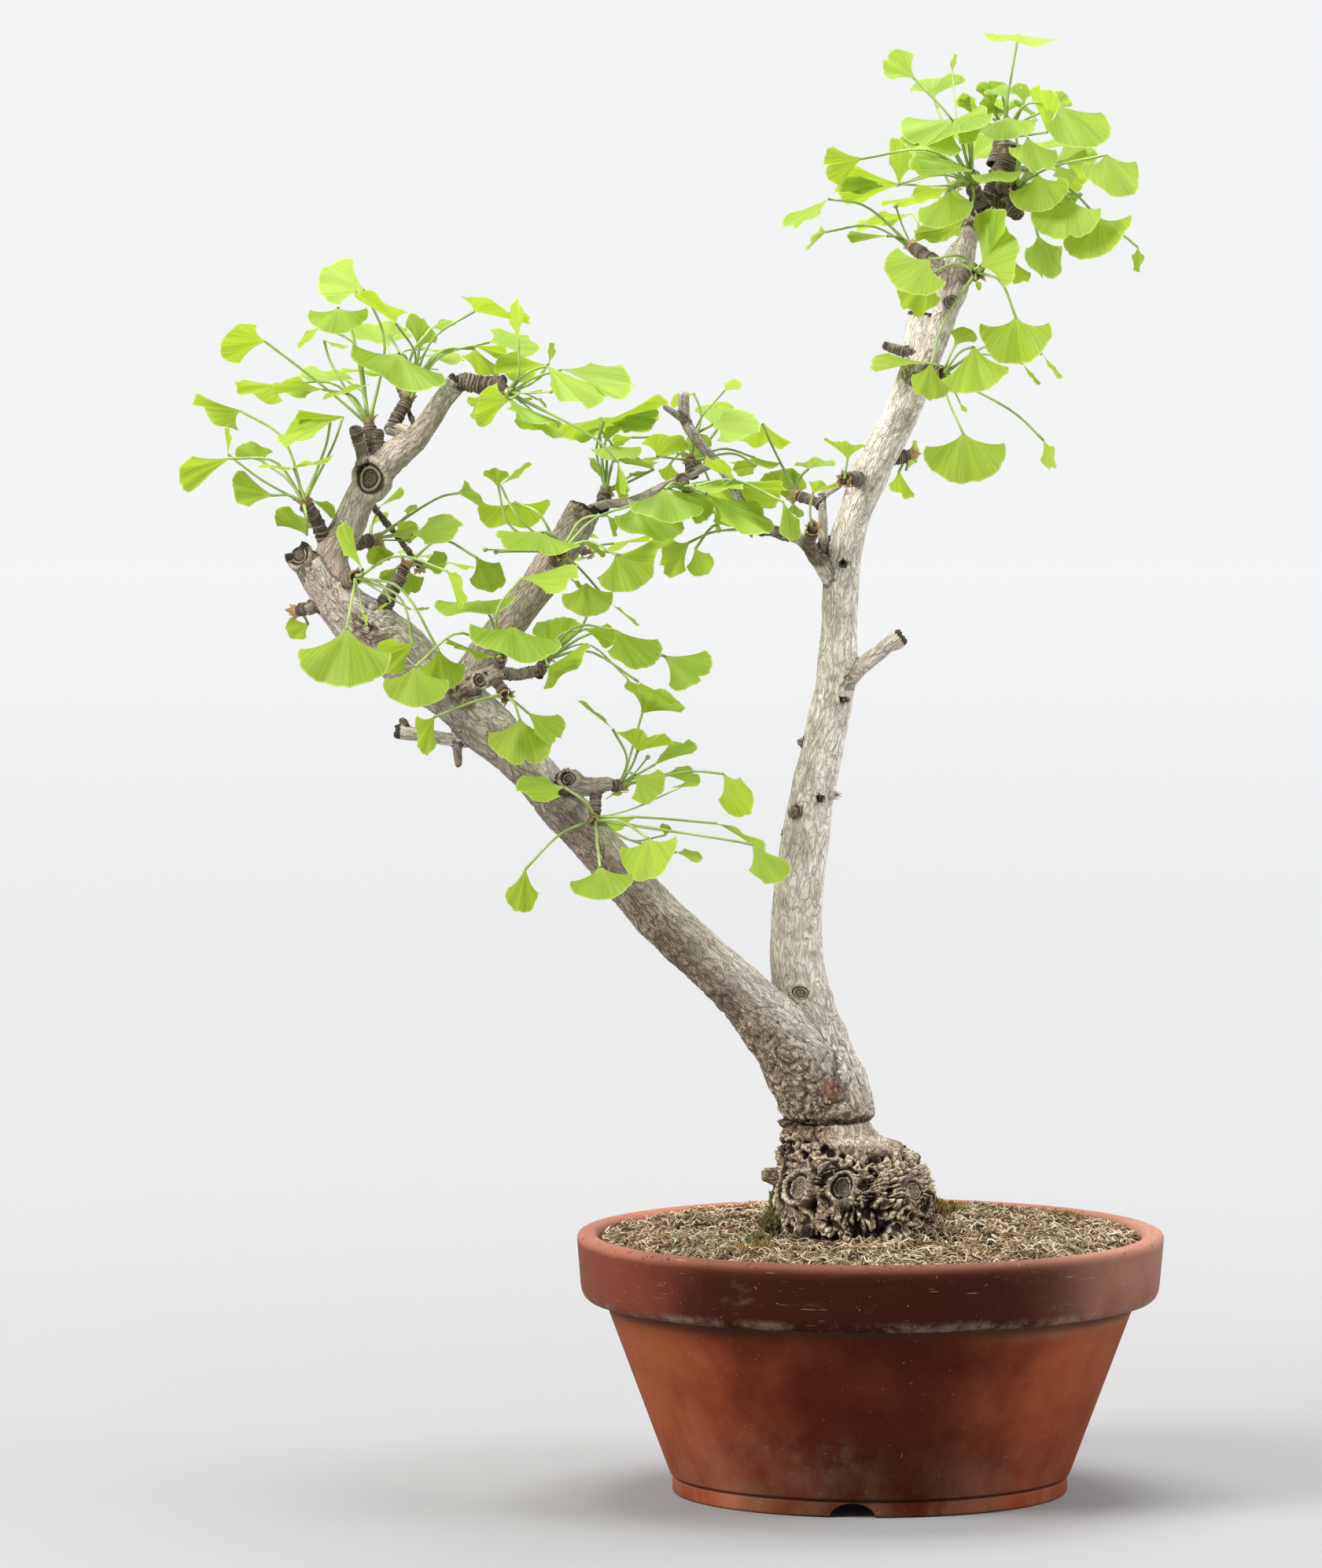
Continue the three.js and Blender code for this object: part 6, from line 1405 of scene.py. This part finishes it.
def addScales(bm, toneLayer, bud, along, number):
    # papery bud scales that fold back round the stalks
    side = squareTo(Vector((0.2, 0.3, 1)), along)
    other = along.cross(side)
    for k in range(leaves["scaleCount"]):
        turn = 2 * math.pi * (k * goldenTurn + chance(number, 31))
        out = side * math.cos(turn) + other * math.sin(turn)
        flank = along.cross(out)
        length = 0.0036 + 0.0026 * chance(number + k, 32)
        spread = 0.1 + 0.75 * chance(number + k, 33)
        made = bmesh.ops.create_grid(bm, x_segments=3, y_segments=4, size=1, calc_uvs=True)
        for vertex in made["verts"]:
            share, rise = vertex.co.x, (vertex.co.y + 1) / 2
            width = 0.0019 * (1 - rise ** 3) * share
            lean = spread * rise ** 1.3
            spot = bud + along * (0.0012 + length * rise * math.cos(lean))
            spot += out * (0.0026 + length * rise * math.sin(lean) - 0.0005 * share * share)
            vertex.co = spot + flank * width
            vertex[toneLayer] = chance(number + k, 34)


# small green ovules on stalks of their own: spray, (across, down), depth from the bud
ovules = [
    ("leaves_top_left_3", (683, 497), -6), ("leaves_top_left_3", (697, 498), -9),
    ("leaves_top_left_3", (685, 530), -3), ("leaves_middle_4", (620, 699), -8), ("leaves_middle_4", (634, 702), -6),
    ("leaves_left_4", (517, 688), 4), ("leaves_low_1", (770, 1070), -6), ("leaves_low_1", (762, 1087), -8),
    ("leaves_low_2", (822, 965), -4), ("leaves_right_3", (1140, 265), 4), ("leaves_crown_3", (1370, 247), -6),
]


def ovuleRun(bud, along, spot):
    # a thin stalk that swells into the ovule at its end
    start = bud + along * 0.002
    bow = start.lerp(spot, 0.5) + along * 0.002
    run = [(curvePoint([start, bow, spot], k / 5), 0.0005) for k in range(6)]
    ahead = (spot - bow).normalized()
    swell = ((0.4, 0.0010), (1.0, 0.00135), (1.7, 0.0013), (2.4, 0.0008), (2.7, 0))
    return run + [(spot + ahead * mm * step, radius) for step, radius in swell]


def bladeMaterial():
    m = Maker("leafBlade")
    u, v, _ = m.split(m.uv())
    place = m.place()
    tone = m.attribute("tone")
    fromMiddle = (u - 0.5) * (0.4 + v * 0.6)
    veinPlace = m.node("ShaderNodeCombineXYZ", None, {0: fromMiddle * 60, 1: v * 0.7, 2: tone * 40})
    veins = m.noise(veinPlace, 1.0, 2, 0.6)
    fine = m.wave(fromMiddle * 330 + tone * 20) * 0.5 + 0.5
    broad = m.noise(place, 60, 3)
    light = m.mix(tone, *leaves["light"])
    deep = m.mix(tone, *leaves["deep"])
    colour = m.mix(veins.between(0.30, 0.68) * 0.75 + 0.12, deep, light)
    colour = m.mix(broad.between(0.4, 0.7) * 0.4, colour, leaves["patch"])
    colour = m.mix(fine * 0.10, colour, leaves["vein"])
    colour = m.mix(1 - v.between(0.02, 0.30), colour, leaves["foot"])
    rim = v.between(0.955, 0.995)
    colour = m.mix(rim * 0.7, colour, leaves["rim"])
    glow = m.mix(veins.between(0.25, 0.7), *leaves["glow"])
    height = veins * 0.6 + fine * 0.35
    m.letThrough(glow, 0.46)
    return m.finish(base_color=colour, roughness=0.44 + 0.14 * veins, normal=m.bump(height, 0.0004, 0.5),
                    specular_ior_level=0.26)


def stalkMaterial():
    m = Maker("leafStalk")
    place = m.place()
    patch = m.noise(place, 70, 2)
    fine = m.noise(place, 1400, 2)
    colour = m.mix(patch.between(0.35, 0.65), *leaves["stalk"])
    colour = m.mix(fine * 0.2, colour, leaves["stalkFleck"])
    return m.finish(base_color=colour, roughness=0.45, normal=m.bump(fine, 0.0002, 0.4))


def scaleMaterial():
    m = Maker("budScale")
    u, v, _ = m.split(m.uv())
    tone = m.attribute("tone")
    fibre = m.noise(m.node("ShaderNodeCombineXYZ", None, {0: u * 9, 1: v, 2: tone * 30}), 2.0, 2)
    base = m.mix(tone, *leaves["scale"])
    colour = m.mix(v.between(0.4, 1.0) * fibre, base, leaves["scaleTip"])
    m.letThrough(leaves["scaleGlow"], 0.2)
    return m.finish(base_color=colour, roughness=0.6, normal=m.bump(fibre, 0.0003, 0.6))


def solidPoints(name):
    # the points of a node's solid, to find the nearest one quickly
    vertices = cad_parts[name].data.vertices
    tree = KDTree(len(vertices))
    for i, vertex in enumerate(vertices):
        tree.insert(vertex.co, i)
    tree.balance()
    return tree


def makeSprays():
    blade, stalk, scale = bladeMaterial(), stalkMaterial(), scaleMaterial()
    number = 1
    for name, budSpot, spur, drawnLeaves in allSprays:
        bud, along = budAndAlong(budSpot, spur)
        tree = solidPoints(name)
        bm = bmesh.new()
        bm.loops.layers.uv.new("UVMap")
        toneLayer = bm.verts.layers.float.new("tone")
        runs = []
        wanted = [(number + i, leaf(*drawn), True) for i, drawn in enumerate(drawnLeaves) if drawn]
        wanted += [(leaves["firstLoose"] + i, leaf(*drawn), False) for i, (owner, drawn) in enumerate(looseLeaves)
                   if owner == name]
        number += len(drawnLeaves)
        for count, drawn, packed in wanted:
            if packed:
                pose, over, swerve = settledPose(tree, drawn, count, bud, along, budSpot[2])
            else:
                pose, over, swerve = drawnPose(drawn, budSpot[2], 0), None, 0
            addBlade(bm, toneLayer, pose, count)
            points = stalkPoints(pose, count, bud, along, over, swerve)
            runs.append(stalkRun(points, 0.7 if pose["length"] < leaves["tinyBlade"] else 1.0))
        for owner, spot, depth in ovules:
            if owner == name:
                runs.append(ovuleRun(bud, along, atDepth(*spot, budSpot[2] + depth)))
        bladeFaces = len(bm.faces)
        addScales(bm, toneLayer, bud, along, number)
        scaleFaces = len(bm.faces)
        bm.from_mesh(tubes("stalks", runs, 1))
        for i, face in enumerate(bm.faces):
            face.material_index = 0 if i < bladeFaces else 2 if i < scaleFaces else 1
            face.smooth = True
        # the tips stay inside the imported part
        for vertex in bm.verts:
            vertex.co.x = max(vertex.co.x, cadBox[0][0])
        mesh = meshFrom(bm, name + "Fine")
        newPiece(name.replace("leaves_", "spray_"), mesh, [blade, stalk, scale], "leaf", name)
    print("leaves made:", number - 1, "worst miss in mm:", round(max(misses) / mm, 3))


# the soil and its moss, from the bowl's axis; a moss has a dark, a light and a tip colour
ground = {
    "profile": [(0, 0.1380), (0.038, 0.1374), (0.064, 0.1355), (0.088, 0.1340), (0.113, 0.1310), (0.1348, 0.1275),
                (0.1372, 0.1262)],
    "lump": 0.00128, "crumb": 0.0011, "dip": 0.0062, "sink": 0.0012, "radius": 0.1378, "underside": 0.118,
    "undersideShare": 0.975, "meanHeight": 0.1345, "rings": 46, "segments": 150,
    "strands": 8600, "quickStrands": 2500, "strandReach": 0.1345, "strandLimit": 0.1365, "cushionLimit": 0.133,
    "strawShare": 0.55, "seed": 41, "soil": ((0.035, 0.024, 0.014), (0.11, 0.078, 0.042)),
    "grit": (0.34, 0.27, 0.15),
    "straw": ((0.18, 0.115, 0.050), (0.57, 0.485, 0.31), (0.74, 0.69, 0.52)),
    "brown": ((0.040, 0.020, 0.010), (0.28, 0.155, 0.070), (0.46, 0.32, 0.16)),
    "green": ((0.030, 0.030, 0.007), (0.17, 0.155, 0.032), (0.38, 0.38, 0.12)),
    "ochre": ((0.10, 0.065, 0.014), (0.36, 0.25, 0.05), (0.50, 0.38, 0.12)),
}


def groundHeight(x, y):
    away = math.hypot(x, y)
    radii, heights = zip(*ground["profile"])
    lump = math.sin(x * 111 + 1.3 * math.sin(y * 91)) * math.cos(y * 125 + math.sin(x * 77))
    # it dips in front of the burl
    dip = ground["dip"] * smooth(-y, 0.018, 0.048) * smooth(0.085 - abs(x - 0.004), 0, 0.05)
    return float(np.interp(away, radii, heights)) + (ground["lump"] * lump - dip) * smooth(0.136 - away, 0, 0.02)


def onGround(across, down):
    # the place on the soil that shows at a sheet point
    ray = rayThrough(across, down)
    spot = sheet["eye"] + ray * ((ground["meanHeight"] - sheet["eye"].z) / ray.z)
    return Vector((spot.x - potX, spot.y))


def soilMaterial():
    m = Maker("darkSoil")
    place = m.place()
    broad = m.noise(place, 60, 4)
    fine = m.noise(place, 420, 4, 0.65)
    crumbs = m.cracks(place, 330)
    colour = m.mix(broad.between(0.35, 0.65), *ground["soil"])
    colour = m.mix(fine.between(0.5, 0.7) * 0.6, colour, ground["grit"])
    height = fine + crumbs * 1.5
    return m.finish(base_color=colour, roughness=0.95, normal=m.bump(height, 0.002, 1.0))


def mossMaterial(kind):
    dark, light, tip = ground[kind]
    m = Maker(kind + "Moss")
    place = m.place()
    tone = m.attribute("tone")
    broad = m.noise(place, 50, 3)
    fine = m.noise(place, 1500, 2)
    colour = m.mix(tone, dark, light)
    colour = m.mix(broad.between(0.45, 0.7) * tone * 0.6, colour, tip)
    colour = m.mix(fine.between(0.5, 0.7) * 0.3, colour, dark)
    return m.finish(base_color=colour, roughness=0.85, normal=m.bump(fine, 0.0004, 0.6))


def strandRun(draw, x, y, length, rise, thick):
    # a dry strand that lies in a loose curl
    widths = (1, 1, 0.95, 0.85, 0.6, 0)
    steps, limit = len(widths) - 1, ground["strandLimit"]
    turn = draw.uniform(0, 2 * math.pi)
    bend = draw.uniform(-7.5, 7.5)
    height = groundHeight(x, y) + draw.uniform(-0.0004, 0.0016)
    run = []
    for k, width in enumerate(widths):
        arch = rise * math.sin(k / steps * math.pi) * draw.uniform(0.6, 1.2)
        run.append((Vector((potX + x, y, height + arch)), thick * width))
        x += math.cos(turn) * length / steps
        y += math.sin(turn) * length / steps
        turn += bend / steps
        away = math.hypot(x, y)
        if away > limit:
            x, y = x * limit / away, y * limit / away
        height = groundHeight(x, y) + 0.0006
    return run


def withTone(mesh, runs, tones):
    # gives all points of a strand its tone
    pointAttribute(mesh, "tone", np.repeat(tones, len(mesh.vertices) // len(runs)))
    mesh.shade_smooth()
    return mesh


# green and ochre cushions of moss: (across, down) on the soil, radius and height in millimetres, strands, which moss
cushions = [
    (988, 1556, 4, 17, 170, "green"), (980, 1570, 5, 10, 200, "green"), (966, 1580, 6, 6, 190, "green"),
    (972, 1584, 5, 5, 110, "ochre"), (948, 1586, 9, 3, 150, "ochre"), (958, 1592, 6, 3, 110, "green"),
    (994, 1590, 6, 3, 90, "green"), (1190, 1560, 7, 11, 260, "ochre"), (1208, 1552, 10, 6, 280, "ochre"),
    (1362, 1544, 13, 4, 280, "ochre"), (905, 1588, 10, 2, 110, "green"), (1320, 1566, 9, 2, 90, "green"),
    (1240, 1534, 9, 4, 150, "green"), (1250, 1584, 7, 2, 70, "ochre"), (840, 1582, 8, 2, 80, "ochre"),
]


def inDisk(draw, radius):
    away, turn = radius * math.sqrt(draw.random()), draw.uniform(0, 2 * math.pi)
    return away, away * math.cos(turn), away * math.sin(turn)


def makeSoilBed():
    bm = bmesh.new()
    radii = [ground["radius"] * (k / ground["rings"]) ** 0.8 for k in range(1, ground["rings"] + 1)]
    line = [bm.verts.new((radius, 0, 0)) for radius in [0.0001] + radii]
    edges = [bm.edges.new(pair) for pair in zip(line, line[1:])]
    bmesh.ops.spin(bm, geom=line + edges, axis=(0, 0, 1), cent=(0, 0, 0), angle=2 * math.pi,
                   steps=ground["segments"], use_merge=True)
    bmesh.ops.remove_doubles(bm, verts=bm.verts, dist=0.0003)
    for vertex in bm.verts:
        x, y, _ = vertex.co
        crumb = noise.fractal((x * 170, y * 170, 3), 0.8, 2.2, 3) * ground["crumb"]
        crumb *= smooth(0.138 - math.hypot(x, y), 0, 0.01)
        vertex.co = (potX + x, y, groundHeight(x, y) - ground["sink"] + crumb)
    rim = [edge for edge in bm.edges if edge.is_boundary]
    skirt = bmesh.ops.extrude_edge_only(bm, edges=rim)
    for item in skirt["geom"]:
        if isinstance(item, bmesh.types.BMVert):
            item.co.z = ground["underside"]
            item.co.x = potX + (item.co.x - potX) * ground["undersideShare"]
            item.co.y *= ground["undersideShare"]
    bmesh.ops.holes_fill(bm, edges=[edge for edge in bm.edges if edge.is_boundary])
    bmesh.ops.recalc_face_normals(bm, faces=bm.faces)
    mesh = meshFrom(bm, "soil")
    mesh.shade_smooth()
    newPiece("soilBed", mesh, [soilMaterial()], "soil", "soil")


def makeStrands(draw):
    count = ground["strands"]
    kinds = {"straw": ([], []), "brown": ([], [])}
    for _ in range(count):
        _, x, y = inDisk(draw, ground["strandReach"])
        runs, tones = kinds["straw" if draw.random() < ground["strawShare"] else "brown"]
        runs.append(strandRun(draw, x, y, draw.uniform(0.006, 0.021), draw.uniform(0.0006, 0.0048),
                              draw.uniform(0.00026, 0.00070)))
        tones.append(draw.random())
    for kind, (runs, tones) in kinds.items():
        name = kind + "Strands"
        newPiece(name, withTone(tubes(name, runs, 0), runs, tones), [mossMaterial(kind)], "soil", "soil")


def cushionStrand(draw, middle, radius, tall):
    # a short upright strand on a cushion, or None past the edge of the soil
    away, x, y = inDisk(draw, radius)
    x, y = middle.x + x, middle.y + y
    lean = Vector((draw.uniform(-0.7, 0.7) + (x - middle.x) / radius * 0.7,
                   draw.uniform(-0.7, 0.7) + (y - middle.y) / radius * 0.7, 1)).normalized()
    high = tall * math.sqrt(1 - (away / radius) ** 2) - ground["sink"]
    base = Vector((potX + x, y, groundHeight(x, y) + high))
    if math.hypot(x, y) > ground["cushionLimit"]:
        return None
    tip = base + lean * draw.uniform(0.0022, 0.0042)
    return [(base, 0.0007), (base.lerp(tip, 0.55), 0.0006), (tip, 0)]


def makeCushions(draw, kind):
    runs, tones = [], []
    bm = bmesh.new()
    toneLayer = bm.verts.layers.float.new("tone")
    for across, down, radius, tall, strands, which in cushions:
        if which != kind:
            continue
        middle, radius, tall = onGround(across, down), radius * mm, tall * mm
        heart = (potX + middle.x, middle.y, groundHeight(*middle) - 0.0005)
        mound = Matrix.Translation(heart) @ Matrix.Diagonal((radius * 0.95, radius * 0.95, tall, 1))
        made = bmesh.ops.create_icosphere(bm, subdivisions=3, radius=1, matrix=mound)
        for vertex in made["verts"]:
            vertex.co += noise.noise_vector(vertex.co * 300) * 0.0012
            vertex[toneLayer] = 0.2
        for _ in range(strands):
            run = cushionStrand(draw, middle, radius, tall)
            if run:
                runs.append(run)
                tones.append(draw.random())
    bm.from_mesh(withTone(tubes("strands", runs, 0), runs, tones))
    mesh = meshFrom(bm, kind + "Moss")
    mesh.shade_smooth()
    newPiece(kind + "Moss", mesh, [mossMaterial(kind)], "soil", "soil")


def makeGround():
    makeSoilBed()
    draw = random.Random(ground["seed"])
    makeStrands(draw)
    makeCushions(draw, "green")
    makeCushions(draw, "ochre")
    print("soil and moss made")


# stage, light and camera; a light has its place, the place it shines at, its size, power and colour
studio = {
    "floor": (0.312, 0.312, 0.311), "glow": (0.775, 0.779, 0.785), "glowReach": 1.9,
    "front": 16, "behind": 12, "top": 5, "sweep": 4, "sweepSteps": 24, "halfWidth": 16, "drop": 0.0002,
    "world": (0.95, 0.97, 1.0), "worldStrength": 0.32, "sensorWidth": 36, "clipEnd": 60,
    "lights": {
        "leftWindow": ((-2.1, -1.3, 2.1), (0.02, 0, 0.35), 1.6, 130, (1, 0.98, 0.95)),
        "rightFill": ((2.4, -0.6, 1.9), (0.05, 0, 0.35), 1.8, 70, (0.98, 0.985, 1)),
        "topLight": ((0.1, 0.6, 2.5), (0.02, 0, 0.3), 1.6, 68, (1, 1, 1)),
    },
}


def stageMaterial():
    m = Maker("paleStage")
    place = m.place()
    grain = m.noise(place, 60, 3)
    x, y, _ = m.split(place)
    # it glows gently where the lights don't reach, so that it stays even
    away = x ** 2 + y ** 2
    far = away / (away + studio["glowReach"] ** 2)
    return m.finish(base_color=studio["floor"], emission_color=m.mix(far, (0, 0, 0), studio["glow"]),
                    emission_strength=1.0, roughness=0.75, normal=m.bump(grain, 0.0008, 0.25), specular_ior_level=0.2)


def makeStage():
    # a floor that sweeps up into a wall
    bm = bmesh.new()
    behind, sweep, steps, drop = studio["behind"], studio["sweep"], studio["sweepSteps"], studio["drop"]
    line = [(-studio["front"], -drop), (behind - sweep, -drop)]
    line += [(behind - sweep + sweep * math.sin(a), sweep - sweep * math.cos(a) - drop)
             for a in (math.pi / 2 * k / steps for k in range(1, steps + 1))]
    line.append((behind, studio["top"]))
    verts = [bm.verts.new((-studio["halfWidth"], y, z)) for y, z in line]
    edges = [bm.edges.new(pair) for pair in zip(verts, verts[1:])]
    made = bmesh.ops.extrude_edge_only(bm, edges=edges)
    bmesh.ops.translate(bm, vec=(2 * studio["halfWidth"], 0, 0),
                        verts=[v for v in made["geom"] if isinstance(v, bmesh.types.BMVert)])
    bmesh.ops.recalc_face_normals(bm, faces=bm.faces)
    mesh = meshFrom(bm, "stage")
    mesh.shade_smooth()
    newPiece("paleStage", mesh, [stageMaterial()], None)


def makeLights():
    world = bpy.data.worlds.new("studio")
    bpy.context.scene.world = world
    world.use_nodes = True
    sky = world.node_tree.nodes["Background"]
    sky.inputs["Color"].default_value = (*studio["world"], 1)
    sky.inputs["Strength"].default_value = studio["worldStrength"]
    for name, (place, aim, size, power, colour) in studio["lights"].items():
        light = bpy.data.lights.new(name, "AREA")
        light.shape = "DISK"
        light.size = size
        light.energy = power
        light.color = colour
        lamp = bpy.data.objects.new(name, light)
        lamp.location = place
        lamp.rotation_euler = (Vector(aim) - Vector(place)).to_track_quat("-Z", "Y").to_euler()
        bpy.context.scene.collection.objects.link(lamp)


def makeCamera():
    # it stands at the sheet's eye and takes in the whole sheet
    cameraData = bpy.data.cameras.new("camera")
    camera = bpy.data.objects.new("camera", cameraData)
    bpy.context.scene.collection.objects.link(camera)
    camera.location = sheet["eye"]
    camera.rotation_euler = sheetInto.to_track_quat("-Z", "Y").to_euler()
    cameraData.sensor_width = studio["sensorWidth"]
    cameraData.lens = cameraData.sensor_width * sheetReach / sheet["height"]
    cameraData.clip_end = studio["clipEnd"]
    bpy.context.scene.camera = camera
    bpy.context.scene.view_settings.view_transform = "Standard"


allSprays = sprays + [(name, bud, spur, [(None, None, 1) if kept else None for kept in leafKept])
                      for name, bud, spur, leafKept in backSprays]
makeBowl()
makeGround()
makeWood()
makeSpurs()
makeSprays()
makeStage()
makeLights()
makeCamera()
print("stage, lights and camera set")
